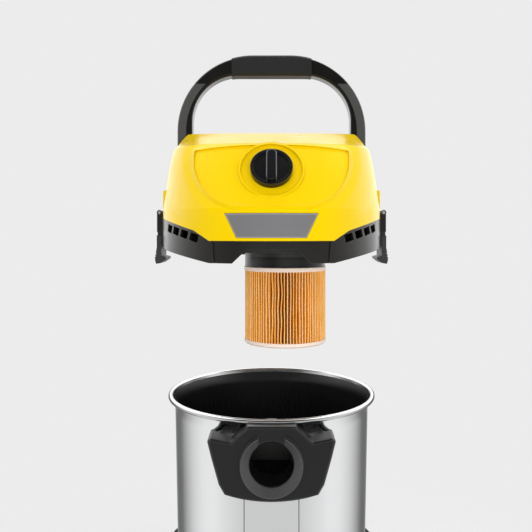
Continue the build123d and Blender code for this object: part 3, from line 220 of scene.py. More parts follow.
# Drum: deep-drawn stainless sheet, 1 mm thick, polished outside; inside, the sheet is painted near black as painted
# shade. Its lip is flared and rolled into a bead, and a flat band is pressed into the wall below the hose inlet.
MM = 0.001
SHEET = 1.0
DRUM_Z, FLARE_Z, RIM_Z = 79.5, 343.0, 365.0
DRUM_LOW_R, DRUM_TAPER, DRUM_MID_R = 135.0, 5.0, 138.0
CORNER_CENTRE, CORNER_R = 126.2, 9.0
FLARE_OUT, FLARE_RISE, FLARE_POWER = 3.5, 15.8, 1.4
BEAD_CENTRE, BEAD_R = 146.5, 3.5
BEAD_LOW = 359.0
BAND_HALF, BAND_EDGE = 36.5, 2.2
BAND_STEP, BAND_DISH = 0.9, 1.1
BAND_LOW, BAND_HIGH, BAND_FADE = (101, 112), (268, 282), (11, 12)
CREASE_IN, CREASE_WIDE = 1.6, 0.8
CREASE_LOW, CREASE_HIGH = (0.1, 0.112), (0.282, 0.27)
INNER_GAP, PRESSED_GAP = 0.45, 2.9
WALL_ROWS = slice(3, 72)
INLET_Z = 315.0
SPIGOT_R, SPIGOT_GAP = 30.5, 0.4
HOLE_FRONT, HOLE_BACK = -200.0, -60.0


def smooth(x):
    """Rises from 0 to 1 with level ends as x goes from 0 to 1."""
    x = np.clip(x, 0.0, 1.0)
    return x * x * (3.0 - 2.0 * x)


def arc(centre, radius, start, end, count):
    """Points (r, z) on a circle, by angle in degrees."""
    angle = np.radians(np.linspace(start, end, count))
    return np.stack([centre[0] + radius * np.cos(angle), centre[1] + radius * np.sin(angle)], axis=-1)


def lathe(profile, turn, dent=0.0):
    """A profile (r, z) in mm carried round the Z axis, with an optional radial dent: grid points in metres.
    Turn is counted from the front, towards +X."""
    r = profile[:, :1] + dent
    x = r * np.sin(turn)
    y = -r * np.cos(turn)
    z = profile[:, 1:] + 0 * turn
    return np.stack([x, y, z], axis=-1) * MM


def rod(radius, start, end, count=64):
    """A closed bar along Y, for cutting round holes."""
    turn = np.linspace(0, 2 * pi, count, endpoint=False)
    r = np.array([0.0, radius, radius, 0.0])[:, None]
    y = np.array([end, end, start, start])[:, None] + 0 * turn
    return np.stack([r * np.cos(turn), y, r * np.sin(turn)], axis=-1) * MM


def cut(piece, tool):
    """Takes a closed mesh out of a piece, and leaves the result in its own mesh."""
    cutter = bpy.data.objects.new("cutter", tool)
    bpy.context.scene.collection.objects.link(cutter)
    step = piece.modifiers.new("cut", "BOOLEAN")
    step.operation = "DIFFERENCE"
    step.solver = "EXACT"
    step.object = cutter
    bpy.context.view_layer.update()
    done = bpy.data.meshes.new_from_object(piece.evaluated_get(bpy.context.evaluated_depsgraph_get()))
    piece.modifiers.remove(step)
    piece.data = done
    bpy.data.objects.remove(cutter)
    done.set_sharp_from_angle(angle=SHARP_FROM)


def drum_profile():
    """Outside from the bottom's middle up, over the bead and down the inside."""
    low = np.array([[0.0, DRUM_Z], [70.0, DRUM_Z], [120.0, DRUM_Z]])
    corner = arc((CORNER_CENTRE, DRUM_Z + CORNER_R), CORNER_R, -90, 0, 8)
    levels = np.concatenate([
        np.linspace(92, 100, 3), np.linspace(*BAND_LOW, 10), np.linspace(116, 266, 18),
        np.linspace(*BAND_HIGH, 12), np.linspace(287, 341, 8),
    ])
    taper = DRUM_TAPER * (levels - DRUM_Z) / (FLARE_Z - DRUM_Z)
    wall = np.stack([DRUM_LOW_R + taper, levels], axis=-1)
    share = np.linspace(0.0, 1.0, 10)
    flare_r = DRUM_LOW_R + DRUM_TAPER + FLARE_OUT * share**FLARE_POWER
    flare = np.stack([flare_r, FLARE_Z + FLARE_RISE * share], axis=-1)
    bead = arc((BEAD_CENTRE, RIM_Z - BEAD_R), BEAD_R, 218, 530, 30)
    outer = np.concatenate([low, corner, wall, flare, bead])
    raised = np.concatenate([low + [0, SHEET], corner + [-SHEET, SHEET]])
    inside = np.concatenate([raised, wall - [SHEET, 0], flare - [SHEET, 0]])
    return outer, inside[::-1]


outer, inside = drum_profile()
profile = np.concatenate([outer, inside])
fold = np.degrees(np.arcsin(BAND_HALF / DRUM_MID_R)) + np.linspace(-1.5, 0.9, 17)
even = np.linspace(-180, 180, 256, endpoint=False)
turn = np.unique(np.radians(np.concatenate([even, fold, -fold])))
ahead = np.cos(turn) > 0
across = np.abs(profile[:, :1] * np.sin(turn))
height = profile[:, 1:]
band = smooth((BAND_HALF + BAND_EDGE / 2 - across) / BAND_EDGE) * ahead
ends = smooth((height - BAND_LOW[0]) / BAND_FADE[0]) * smooth((BAND_HIGH[1] - height) / BAND_FADE[1])
crease = np.exp(-(((across - BAND_HALF + CREASE_IN) / CREASE_WIDE) ** 2)) * ahead
dish = BAND_DISH * (1 - np.minimum(1.0, across / BAND_HALF) ** 2)
dent = -ends * (band * (BAND_STEP + dish) + crease)


def drawn_group():
    """Drawn sheet: Marks are fine upright streaks left by the die, Cloud a slow cloudy tone."""
    group = bpy.data.node_groups.new("drawn_marks", "ShaderNodeTree")
    group.interface.new_socket("Marks", in_out="OUTPUT", socket_type="NodeSocketFloat")
    group.interface.new_socket("Cloud", in_out="OUTPUT", socket_type="NodeSocketFloat")
    leave = group.nodes.new("NodeGroupOutput")
    place = node(group, "TexCoord").outputs["Object"]
    drawn = node(group, "Mapping", {"Vector": place, "Scale": (900.0, 900.0, 6.0)})
    marks = node(group, "TexNoise", {"Vector": drawn.outputs[0], "Scale": 1.0, "Detail": 3.0})
    cloud = node(group, "TexNoise", {"Vector": place, "Scale": 9.0, "Detail": 2.0})
    group.links.new(marks.outputs[0], leave.inputs["Marks"])
    group.links.new(cloud.outputs[0], leave.inputs["Cloud"])
    return group


drawn_marks = drawn_group()
DIM_SHARE = 0.93


def steel(name, colour, rough, streak):
    """Drawn or turned metal: upright marks in the roughness and the surface, and slow cloudy tone."""
    finish = bpy.data.materials.new(name)
    finish.use_nodes = True
    tree = finish.node_tree
    shader = tree.nodes["Principled BSDF"]
    drawn = node(tree, "Group", node_tree=drawn_marks)
    marks, cloud = drawn.outputs["Marks"], drawn.outputs["Cloud"]
    both = node(tree, "Math", {0: marks, 1: cloud}, operation="ADD")
    span = {0: both.outputs[0], 1: 0.6, 2: 1.4, 3: rough - streak, 4: rough + streak}
    tree.links.new(node(tree, "MapRange", span).outputs[0], shader.inputs["Roughness"])
    dim = tuple(DIM_SHARE * c for c in colour)
    shade = node(tree, "Mix", {0: cloud, 6: (*dim, 1.0), 7: (*colour, 1.0)}, data_type="RGBA")
    tree.links.new(shade.outputs[2], shader.inputs["Base Color"])
    bump = node(tree, "Bump", {"Height": marks, "Strength": 0.06, "Distance": 0.0002})
    tree.links.new(bump.outputs[0], shader.inputs["Normal"])
    shader.inputs["Metallic"].default_value = 1.0
    return finish


def lined(finish, mask, colour):
    """Lays a second colour over a finish where the mask is 1."""
    tree = finish.node_tree
    tint = tree.nodes["Principled BSDF"].inputs["Base Color"]
    over = node(tree, "Mix", {0: mask, 6: tint.links[0].from_socket, 7: (*colour, 1.0)}, data_type="RGBA")
    tree.links.new(over.outputs[2], tint)


def own_place(tree):
    """A point's x, y and z, and its distance from the middle."""
    own = node(tree, "SeparateXYZ", {0: node(tree, "TexCoord").outputs["Object"]})
    side = node(tree, "Math", {0: own.outputs["X"]}, operation="ABSOLUTE")
    return own.outputs, side.outputs[0]


def all_of(tree, *masks):
    """One mask that is 1 where every given mask is 1."""
    product = masks[0]
    for mask in masks[1:]:
        product = node(tree, "Math", {0: product, 1: mask}, operation="MULTIPLY").outputs[0]
    return product


def step_at(tree, value, start, end):
    """A mask that goes smoothly from 0 to 1 as a value goes from start to end."""
    return node(tree, "MapRange", {0: value, 1: start, 2: end}, interpolation_type="SMOOTHSTEP").outputs[0]


polished = steel("polished_steel", (0.74, 0.745, 0.75), 0.16, 0.04)
tree = polished.node_tree
own, side = own_place(tree)
# Painted shade: a dark grey line along each crease of the pressed band, on the front, standing for the shadow in the
# crease.
line = node(tree, "Math", {0: side, 1: (BAND_HALF - CREASE_IN) * MM}, operation="SUBTRACT")
line = node(tree, "Math", {0: line.outputs[0]}, operation="ABSOLUTE")
line = step_at(tree, line.outputs[0], 0.9 * MM, 0.2 * MM)
ends = all_of(tree, step_at(tree, own["Z"], *CREASE_LOW), step_at(tree, own["Z"], *CREASE_HIGH))
lined(polished, all_of(tree, line, ends, step_at(tree, own["Y"], 0.0, -0.05)), (0.3, 0.3, 0.3))
# Painted shade: the steel from the bead up is painted a darker grey, which dims its reflection.
lined(polished, step_at(tree, own["Z"], (BEAD_LOW - 0.5) * MM, (BEAD_LOW + 0.5) * MM), (0.5, 0.5, 0.5))
# Painted shade: the drum's inside faces are painted near black, standing for the shade inside the drum.
inner_shade = steel("painted_inner_shade", (0.006, 0.006, 0.0065), 0.3, 0.08)
inner_shade.node_tree.nodes["Principled BSDF"].inputs["Metallic"].default_value = 0.0
mesh = skin("drum_shell", lathe(profile, turn, dent))
drum = shown("drum_shell", mesh, polished, inner_shade)


def inner_shade_faces(mesh):
    """Which faces lie on the inside: below the bead, above the bottom, and nearer the axis than the outer wall by
    about half the sheet, or by more behind the pressed band."""
    centre = np.zeros(len(mesh.polygons) * 3)
    mesh.polygons.foreach_get("center", centre)
    x, y, level = centre.reshape(-1, 3).T / MM
    wall_at = np.interp(level, outer[WALL_ROWS, 1], outer[WALL_ROWS, 0])
    pressed = (np.abs(x) < BAND_HALF + 2.5) & (y < 0) & (level < BAND_HIGH[1] + 4)
    inner = np.hypot(x, y) < wall_at - INNER_GAP - PRESSED_GAP * pressed
    return inner & (level < BEAD_LOW) & (level > DRUM_Z + 0.5)


# The inside faces take the painted shade.
mesh.polygons.foreach_set("material_index", inner_shade_faces(mesh).astype(np.int32))
hole = rod(SPIGOT_R + SPIGOT_GAP, HOLE_FRONT, HOLE_BACK) + np.array([0, 0, INLET_Z * MM])
cut(drum, skin("inlet_hole", hole))
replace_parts(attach(drum, "container"), "drum")

# Castor base and castors: a black moulding riveted under the drum, with four castors whose forks swivel
# on pressed-in stems. The wheels are grey mouldings that roll on plated axles.
CORNERS = ("front_left", "front_right", "rear_left", "rear_right")
EDGE_SAMPLES = 4
GLOSS_DRIFT = 0.06
GRAIN_RISE = 0.0002
DULL = (0.55, 0.55, 0.55, 1.0)


def grain_group():
    """Moulded surfaces: Height is fine eroded grain, Tone a slow drift of the colour and gloss."""
    group = bpy.data.node_groups.new("moulded_grain", "ShaderNodeTree")
    group.interface.new_socket("Scale", in_out="INPUT", socket_type="NodeSocketFloat")
    group.interface.new_socket("Height", in_out="OUTPUT", socket_type="NodeSocketFloat")
    group.interface.new_socket("Tone", in_out="OUTPUT", socket_type="NodeSocketFloat")
    enter = group.nodes.new("NodeGroupInput")
    leave = group.nodes.new("NodeGroupOutput")
    place = node(group, "TexCoord").outputs["Object"]
    fine = node(group, "TexNoise", {"Vector": place, "Scale": enter.outputs["Scale"], "Detail": 3.0})
    slow = node(group, "TexNoise", {"Vector": place, "Scale": 14.0, "Detail": 4.0, "Roughness": 0.6})
    group.links.new(fine.outputs[0], leave.inputs["Height"])
    group.links.new(slow.outputs[0], leave.inputs["Tone"])
    return group


grain = grain_group()


def moulded(name, colour, rough, scale, depth, drift=0.08, edge=0.0009):
    """Injection-moulded plastic or rubber: eroded grain, a slow drift of tone and gloss, and softened edges."""
    finish = bpy.data.materials.new(name)
    finish.use_nodes = True
    tree = finish.node_tree
    shader = tree.nodes["Principled BSDF"]
    marks = node(tree, "Group", node_tree=grain)
    marks.inputs["Scale"].default_value = scale
    dark = tuple(c * (1.0 - drift) for c in colour)
    light = tuple(min(1.0, c * (1.0 + drift)) for c in colour)
    shade = node(tree, "Mix", {0: marks.outputs["Tone"], 6: (*dark, 1.0), 7: (*light, 1.0)}, data_type="RGBA")
    tree.links.new(shade.outputs[2], shader.inputs["Base Color"])
    span = {0: marks.outputs["Tone"], 1: 0.25, 2: 0.75, 3: rough - GLOSS_DRIFT, 4: rough + GLOSS_DRIFT}
    tree.links.new(node(tree, "MapRange", span).outputs[0], shader.inputs["Roughness"])
    eased = node(tree, "Bevel", {"Radius": edge}, samples=EDGE_SAMPLES)
    bump = node(tree, "Bump", {"Height": marks.outputs["Height"], "Normal": eased.outputs[0]})
    bump.inputs["Strength"].default_value = depth
    bump.inputs["Distance"].default_value = GRAIN_RISE
    tree.links.new(bump.outputs[0], shader.inputs["Normal"])
    shader.inputs["Specular Tint"].default_value = DULL
    return finish


def edge_group():
    """Painted edge highlight: Mask grows as the normal averaged within Reach leaves the surface's own."""
    group = bpy.data.node_groups.new("painted_edge_highlight", "ShaderNodeTree")
    group.interface.new_socket("Reach", in_out="INPUT", socket_type="NodeSocketFloat")
    group.interface.new_socket("Mask", in_out="OUTPUT", socket_type="NodeSocketFloat")
    enter = group.nodes.new("NodeGroupInput")
    leave = group.nodes.new("NodeGroupOutput")
    eased = node(group, "Bevel", {"Radius": enter.outputs["Reach"]}, samples=EDGE_SAMPLES)
    facing = {0: eased.outputs[0], 1: node(group, "NewGeometry").outputs["Normal"]}
    along = node(group, "VectorMath", facing, operation="DOT_PRODUCT")
    group.links.new(step_at(group, along.outputs["Value"], 0.99, 0.72), leave.inputs["Mask"])
    return group


painted_edge_highlight = edge_group()


def paint_edge_highlight(finish, reach, colour):
    """Lightens a finish along its outer and inner edges, as a painted highlight."""
    edge_glint = node(finish.node_tree, "Group", node_tree=painted_edge_highlight)
    edge_glint.inputs["Reach"].default_value = reach
    lined(finish, edge_glint.outputs["Mask"], colour)


def paint(finish, *names):
    """Gives CAD nodes a finish."""
    for name in names:
        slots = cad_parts[name].data.materials
        slots.clear()
        slots.append(finish)


black = moulded("black_plastic", (0.0095, 0.0086, 0.0072), 0.32, 2600.0, 0.25)
# Painted highlight: the black mouldings' edges are painted lighter.
paint_edge_highlight(black, 1.8 * MM, (0.05, 0.048, 0.045))
wheel_grey = moulded("wheel_grey", (0.17, 0.173, 0.178), 0.5, 1800.0, 0.3)
zinc = steel("zinc_steel", (0.62, 0.62, 0.63), 0.3, 0.08)
paint(black, "castor_base", *("castor_fork_" + corner for corner in CORNERS))
paint(wheel_grey, *("castor_wheel_" + corner for corner in CORNERS))
paint(zinc, "base_rivets", "castor_stems", *("castor_axle_" + corner for corner in CORNERS))

# Hose inlet: a black moulding screwed through the drum wall over a rubber gasket, with a bayonet
# collar for the hose and a deflector hood inside that turns the stream down.
COLLAR_IN, COLLAR_OUT, COLLAR_FACE = 28.5, 37.6, -160.0
NOTCH_HALF = 16.2
rubber = moulded("rubber", (0.02, 0.02, 0.02), 0.62, 1500.0, 0.35)
inlet_black = moulded("inlet_black", (0.0062, 0.0062, 0.0062), 0.26, 2600.0, 0.2)
# Painted highlight: the inlet's edges are painted lighter.
paint_edge_highlight(inlet_black, 2.8 * MM, (0.075, 0.075, 0.075))
# Painted highlight: the collar's face, less the notch at its top, is painted a lighter grey, standing for the sheen
# it catches.
tree = inlet_black.node_tree
own, side = own_place(tree)
up = node(tree, "Math", {0: own["Z"], 1: INLET_Z * MM}, operation="SUBTRACT").outputs[0]
spot = node(tree, "CombineXYZ", {"X": side, "Z": up})
away = node(tree, "VectorMath", {0: spot.outputs[0]}, operation="LENGTH").outputs["Value"]
notch = step_at(tree, side, (NOTCH_HALF + 0.6) * MM, NOTCH_HALF * MM)
notch = all_of(tree, notch, step_at(tree, up, 0.0, 5.0 * MM))
whole = node(tree, "Math", {0: 1.0, 1: notch}, operation="SUBTRACT").outputs[0]
ring = step_at(tree, away, (COLLAR_IN - 1.3) * MM, COLLAR_IN * MM)
ring = all_of(tree, ring, step_at(tree, away, (COLLAR_OUT + 0.6) * MM, COLLAR_OUT * MM), whole)
ring = all_of(tree, ring, step_at(tree, own["Y"], (COLLAR_FACE + 5.0) * MM, COLLAR_FACE * MM))
lined(inlet_black, ring, (0.06, 0.06, 0.06))
paint(inlet_black, "inlet_housing")
paint(black, "inlet_deflector")
paint(rubber, "inlet_gasket")
paint(zinc, "inlet_screws")

# Head base: the black lower half of the motor head. Its skirt drops over the drum's bead onto a rubber
# seal, slanted air slots run along its sides, and a grooved neck under it takes the filter.
NECK_X, NECK_R, NECK_TOP = 20.0, 61.5, 578.0
NECK_STEP, NECK_GROOVE, NECK_FOOT = 561.0, 559.7, 550.5
skirt_black = moulded("skirt_black", (0.0095, 0.0086, 0.0072), 0.32, 2600.0, 0.25)
# Painted highlight: the skirt's edges are painted lighter.
paint_edge_highlight(skirt_black, 1.8 * MM, (0.05, 0.048, 0.045))
tree = skirt_black.node_tree
own, _ = own_place(tree)
axis = node(tree, "CombineXYZ", {"X": own["X"], "Y": own["Y"]})
away = node(tree, "VectorMath", {0: axis.outputs[0], 1: (NECK_X * MM, 0.0, 0.0)}, operation="DISTANCE")
neck = step_at(tree, away.outputs["Value"], (NECK_R + 1) * MM, NECK_R * MM)
neck = all_of(tree, neck, step_at(tree, own["Z"], (NECK_TOP + 2) * MM, NECK_TOP * MM))
# Painted shade: the groove under the neck's step and the neck's foot are painted near black.
groove = step_at(tree, own["Z"], (NECK_GROOVE - 1.2) * MM, NECK_GROOVE * MM)
groove = all_of(tree, groove, step_at(tree, own["Z"], (NECK_STEP + 1.2) * MM, NECK_STEP * MM))
foot = step_at(tree, own["Z"], (NECK_FOOT + 1.2) * MM, NECK_FOOT * MM)
groove_shade = node(tree, "Math", {0: groove, 1: foot}, operation="MAXIMUM")
lined(skirt_black, all_of(tree, neck, groove_shade.outputs[0]), (0.001, 0.001, 0.001))
# Painted light: the neck above its step is painted a lighter grey, making up for the shade under the skirt.
lit_neck = step_at(tree, own["Z"], NECK_STEP * MM, (NECK_STEP + 2) * MM)
lined(skirt_black, all_of(tree, neck, lit_neck), (0.03, 0.029, 0.027))
paint(skirt_black, "head_base")
paint(black, "filter_basket")
paint(rubber, "head_seal")
paint(zinc, "cover_screws")

# Motor: a universal motor with copper coils wound into an iron stator. It stands on a pressed turbine
# can, held between a rubber ring below and a rubber mount on top.
copper = steel("copper", (0.72, 0.38, 0.18), 0.35, 0.1)
iron = steel("laminated_iron", (0.32, 0.32, 0.33), 0.45, 0.1)
carbon = moulded("carbon", (0.05, 0.05, 0.05), 0.55, 1500.0, 0.3)
paint(rubber, "motor_seal", "top_mount")
paint(zinc, "turbine_can", "motor_bearings", "motor_shaft", "turbine_wheel")
paint(black, "motor_frame")
paint(iron, "stator", "armature")
paint(copper, "field_coils", "commutator")
paint(carbon, "brush_holders")

# Float: a white moulded cup that lies loose in the basket. It rises with the water and shuts off the
# suction when the drum is full.
float_white = moulded("float_white", (0.8, 0.8, 0.77), 0.45, 1500.0, 0.2)
paint(float_white, "float_cup")

# Cartridge filter: resin-treated paper in 84 pleats, cast into a soft cream ring at the top and a thin
# one at the bottom, round a slotted core.
PLEATS = 84
FILTER_X = 20.0
FILTER_LOW, FILTER_HIGH = 438.5, 543.0
FOLD_OUT, FOLD_IN = 58.9, 46.5
FOLD_SHARP = 3.2
FOLD_TIP, FOLD_GAP, TIP_WANDER = (0.0585, 0.0597), (0.046, 0.057), 0.0012
FOLD_STEPS = 12
PAPER = 0.45
PAPER_GAP_SHADE = (0.38, 0.06, 0.0, 1.0)
PAPER_AMBER = (1.0, 0.44, 0.02, 1.0)
PAPER_PALE = (1.0, 0.68, 0.3, 1.0)
SWAYS = [(0.13, 1), (0.07, 2), (0.04, 5)]
DEPTH_SPREAD = 0.3
draw = np.random.default_rng(7)
along = np.arange(PLEATS * FOLD_STEPS) / FOLD_STEPS
rise = np.linspace(0.0, 1.0, 30)[:, None]
wave = np.tanh(FOLD_SHARP * np.sin(2 * pi * (along - 0.25))) / np.tanh(FOLD_SHARP)


def per_fold(values):
    """Values given at each outer fold, carried over to the points between the folds."""
    return np.interp(along, np.arange(PLEATS + 2) - 0.5, np.concatenate([values[-1:], values, values[:1]]))


sway = 0 * along
for spread, waves in SWAYS:
    sway = sway + per_fold(draw.normal(0, spread, PLEATS)) * np.sin(waves * pi * rise)
depth = per_fold(draw.normal(0, DEPTH_SPREAD, PLEATS))
round_at = 2 * pi * (along + sway) / PLEATS
out = (FOLD_OUT + FOLD_IN) / 2 + (FOLD_OUT - FOLD_IN) / 2 * wave + depth * (wave > 0) * wave
out = out + 0 * rise
pleats = np.stack([
    FILTER_X + out * np.sin(round_at),
    -out * np.cos(round_at),
    FILTER_LOW + (FILTER_HIGH - FILTER_LOW) * rise + 0 * out,
], axis=-1) * MM


def pleated_paper():
    """Amber paper, paler along the outer folds, with painted shade deep between them: dark red-brown towards the
    core.
    """
    finish = bpy.data.materials.new("filter_paper")
    finish.use_nodes = True
    tree = finish.node_tree
    shader = tree.nodes["Principled BSDF"]
    place = node(tree, "TexCoord").outputs["Object"]
    level = {"Vector": place, "Location": (-FILTER_X * MM, 0.0, 0.0), "Scale": (1.0, 1.0, 0.0)}
    away = node(tree, "VectorMath", {0: node(tree, "Mapping", level).outputs[0]}, operation="LENGTH")
    away = away.outputs["Value"]
    fibre = node(tree, "TexNoise", {"Vector": place, "Scale": 900.0, "Detail": 4.0})
    patch = node(tree, "TexNoise", {"Vector": place, "Scale": 60.0, "Detail": 3.0})
    tip_reach = node(tree, "Math", {0: patch.outputs[0], 1: TIP_WANDER, 2: away}, operation="MULTIPLY_ADD")
    fold = step_at(tree, tip_reach.outputs[0], *FOLD_TIP)
    gap = node(tree, "MapRange", {0: away, 1: FOLD_GAP[0], 2: FOLD_GAP[1]})
    # Painted shade: the paper deep in the gaps between the folds is painted dark red-brown.
    gap_shade = node(tree, "Mix", {0: gap.outputs[0], 6: PAPER_GAP_SHADE, 7: PAPER_AMBER}, data_type="RGBA")
    edge = node(tree, "Mix", {0: fold, 6: gap_shade.outputs[2], 7: PAPER_PALE}, data_type="RGBA")
    speck = node(tree, "MapRange", {0: fibre.outputs[0], 1: 0.3, 2: 0.7, 3: 0.88, 4: 1.08})
    flecked = node(tree, "VectorMath", {0: edge.outputs[2], 1: speck.outputs[0]}, operation="MULTIPLY")
    tree.links.new(flecked.outputs[0], shader.inputs["Base Color"])
    bump = node(tree, "Bump", {"Height": fibre.outputs[0], "Strength": 0.35, "Distance": 0.0003})
    tree.links.new(bump.outputs[0], shader.inputs["Normal"])
    shader.inputs["Roughness"].default_value = 0.75
    shader.inputs["Specular IOR Level"].default_value = 0.25
    return finish


paper = shown("filter_paper_pleats", skin("filter_paper_pleats", pleats), pleated_paper())
sheet = paper.modifiers.new("sheet", "SOLIDIFY")
sheet.thickness = PAPER * MM
sheet.offset = -1.0
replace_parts(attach(paper, "filter"), "filter_pleats")

cast_ring = moulded("filter_ring", (1.0, 0.8, 0.68), 0.55, 900.0, 0.35, drift=0.05)
core_grey = moulded("filter_core_plastic", (0.3, 0.3, 0.31), 0.5, 1800.0, 0.2)
paint(cast_ring, "filter_top_ring", "filter_bottom_cap")
paint(core_grey, "filter_core")

# Cover: the yellow top half of the head, a glossy loaf with a shallow panel let in round the switch. The
# panel has a raised border, and a shoulder line beside it parts the front from the sides. The grey
# plate, the blower port and the cord gland are set into the cover.
PANEL_FLANK = np.array([[101.9, 705.0], [94.8, 664.0], [55.3, 632.0]]) * MM
PANEL_CROWN = np.array([[-101.9, 705.0], [0.0, 710.5], [101.9, 705.0]]) * MM
PANEL_EASE = 0.014
BORDER_WIDE, BORDER_RISE = 0.0055, 0.0022
SHOULDER_FROM, SHOULDER_TO, SHOULDER_FALL = 0.017, 0.05, 0.006
YELLOW_GLOSS = (1.0, 0.72, 0.03, 1.0)
BADGE_LOW, BADGE_HIGH = 590.0, 620.0
BADGE_HALF, BADGE_SLOPE, BADGE_RIM = 58.0, 0.5, 1.0


def inside_arc(tree, side, up, arc_points):
    """How far a place lies inside the circle through three points (x, z), the circle being drawn out level to the
    middle; negative outside it. Side is the distance from the middle."""
    first = arc_points[0]
    squares = (arc_points**2).sum(axis=1)
    centre = np.linalg.solve(2 * (arc_points[1:] - first), squares[1:] - squares[0])
    across = node(tree, "Math", {0: side, 1: float(centre[0])}, operation="SUBTRACT")
    across = node(tree, "Math", {0: across.outputs[0], 1: 0.0}, operation="MAXIMUM")
    spot = node(tree, "CombineXYZ", {"X": across.outputs[0], "Z": up})
    away = node(tree, "VectorMath", {0: spot.outputs[0], 1: (0.0, 0.0, centre[1])}, operation="DISTANCE")
    reach = float(np.linalg.norm(first - centre))
    return node(tree, "Math", {0: reach, 1: away.outputs["Value"]}, operation="SUBTRACT").outputs[0]


def panel_relief():
    """Height in metres: the panel's edge rises over its border, and the wall turns away past the shoulder line, a set
    distance outside the panel's flanks. Both are on the front alone."""
    group = bpy.data.node_groups.new("panel_relief", "ShaderNodeTree")
    group.interface.new_socket("Height", in_out="OUTPUT", socket_type="NodeSocketFloat")
    leave = group.nodes.new("NodeGroupOutput")
    own, side = own_place(group)
    flank = inside_arc(group, side, own["Z"], PANEL_FLANK)
    crown = inside_arc(group, side, own["Z"], PANEL_CROWN)
    within = node(group, "Math", {0: flank, 1: crown, 2: PANEL_EASE}, operation="SMOOTH_MIN")
    span = {0: within.outputs[0], 1: -BORDER_WIDE, 2: 0.0, 3: 0.0, 4: BORDER_RISE}
    border = node(group, "MapRange", span)
    border = all_of(group, border.outputs[0], step_at(group, own["Y"], -0.03, -0.06))
    span = {0: flank, 1: -SHOULDER_FROM, 2: -SHOULDER_TO, 3: 0.0, 4: -SHOULDER_FALL}
    beyond = node(group, "MapRange", span)
    ahead = node(group, "MapRange", {0: own["Y"], 1: 0.1, 2: -0.05})
    both = {0: beyond.outputs[0], 1: ahead.outputs[0], 2: border}
    total = node(group, "Math", both, operation="MULTIPLY_ADD")
    group.links.new(total.outputs[0], leave.inputs["Height"])
    return group


yellow = moulded("yellow_plastic", (0.9, 0.615, 0.0006), 0.31, 1200.0, 0.008, drift=0.02, edge=0.0016)
tree = yellow.node_tree
tree.nodes["Principled BSDF"].inputs["Specular Tint"].default_value = YELLOW_GLOSS
relief = node(tree, "Group", node_tree=panel_relief())
shaped = node(tree, "Bump", {"Height": relief.outputs[0], "Strength": 1.0, "Distance": 1.0})
tree.links.new(tree.nodes["Bevel"].outputs[0], shaped.inputs["Normal"])
tree.links.new(shaped.outputs[0], tree.nodes["Bump"].inputs["Normal"])

plate_grey = moulded("badge_grey", (0.17, 0.17, 0.175), 0.38, 2400.0, 0.1)
tree = plate_grey.node_tree
# Painted highlight: a thin lighter grey line round the plate's raised rim.
own, side = own_place(tree)
down = node(tree, "Math", {0: BADGE_HIGH * MM, 1: own["Z"]}, operation="SUBTRACT")
up = node(tree, "Math", {0: own["Z"], 1: BADGE_LOW * MM}, operation="SUBTRACT")
slant = {0: down.outputs[0], 1: -BADGE_SLOPE, 2: BADGE_HALF * MM}
flank = node(tree, "Math", slant, operation="MULTIPLY_ADD")
flank = node(tree, "Math", {0: flank.outputs[0], 1: side}, operation="SUBTRACT")
rim = node(tree, "Math", {0: down.outputs[0], 1: up.outputs[0]}, operation="MINIMUM")
rim = node(tree, "Math", {0: rim.outputs[0], 1: flank.outputs[0]}, operation="MINIMUM")
rim = step_at(tree, rim.outputs[0], (BADGE_RIM + 0.6) * MM, BADGE_RIM * MM)
lined(plate_grey, rim, (0.3, 0.3, 0.31))
paint(yellow, "cover")
paint(plate_grey, "badge_plate")
paint(black, "blower_port", "cord_gland")

# Switch: a glossy black moulded knob, dished round a grip bar. It is pressed onto a shaft that runs into
# the switch body behind the cover.
KNOB_SPOT = (0.0, -0.133, 0.681)
BAR_EDGE, BAR_LINE, BAR_REACH = 6.0, 0.6, 22.5
gloss_black = moulded("gloss_black", (0.006, 0.006, 0.007), 0.2, 2000.0, 0.05)
tree = gloss_black.node_tree
_, side = own_place(tree)
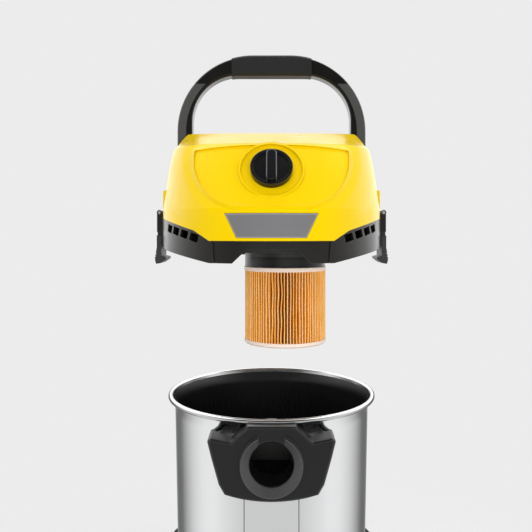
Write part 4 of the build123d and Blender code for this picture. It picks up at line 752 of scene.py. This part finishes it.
# Painted highlight: a light line along each side of the grip bar, on its rounded edge, near the knob's middle.
line = node(tree, "Math", {0: side, 1: BAR_EDGE * MM, 2: BAR_LINE * MM}, operation="COMPARE")
place = node(tree, "TexCoord").outputs["Object"]
near = node(tree, "VectorMath", {0: place, 1: KNOB_SPOT}, operation="DISTANCE")
near = node(tree, "Math", {0: near.outputs["Value"], 1: BAR_REACH * MM}, operation="LESS_THAN")
lined(gloss_black, all_of(tree, line.outputs[0], near.outputs[0]), (0.09, 0.09, 0.093))
# Painted highlight: the knob's edges are painted lighter.
paint_edge_highlight(gloss_black, 1.2 * MM, (0.05, 0.05, 0.052))
grey = moulded("grey_plastic", (0.03, 0.031, 0.033), 0.44, 2200.0, 0.25)
paint(gloss_black, "switch_knob")
paint(grey, "switch_body", "switch_shaft")

# Handle: a black moulded bow that folds back on two steel pins, with a soft grip moulded on at the top
# and grey strips let into its legs.
BOW_HALF, BOW_TOP, BOW_BEND = 137.0, 853.0, 109.6
BOW_MID = 13.0
LEG_TOP = 812.0
soft = moulded("soft_grip", (0.012, 0.012, 0.0125), 0.6, 1100.0, 0.5)
bow_black = moulded("bow_black", (0.005, 0.0047, 0.0042), 0.3, 2600.0, 0.2)
tree = bow_black.node_tree
own, side = own_place(tree)
across = node(tree, "Math", {0: side, 1: (BOW_HALF - BOW_BEND) * MM}, operation="SUBTRACT")
up = node(tree, "Math", {0: own["Z"], 1: (BOW_TOP - BOW_BEND) * MM}, operation="SUBTRACT")
up = node(tree, "Math", {0: up.outputs[0], 1: 0.0}, operation="MAXIMUM")
spot = node(tree, "CombineXYZ", {"X": across.outputs[0], "Z": up.outputs[0]})
away = node(tree, "VectorMath", {0: spot.outputs[0]}, operation="LENGTH").outputs["Value"]
middle = BOW_BEND - BOW_MID
outer_half = step_at(tree, away, (middle - 0.4) * MM, (middle + 0.4) * MM)
legs = step_at(tree, own["Z"], (LEG_TOP + 1) * MM, (LEG_TOP - 1) * MM)
lined(bow_black, all_of(tree, outer_half, legs), (0.062, 0.063, 0.062))
paint(bow_black, "handle_bow")
paint(soft, "handle_grip")
paint(grey, "handle_trim_left", "handle_trim_right")
paint(zinc, "handle_pins")

# Latches: two dark grey moulded clips that hang on steel pins at the head's sides and hook under the
# drum's bead.
paint(grey, "latch_left", "latch_right")
paint(zinc, "latch_pins")

bpy.context.view_layer.update()
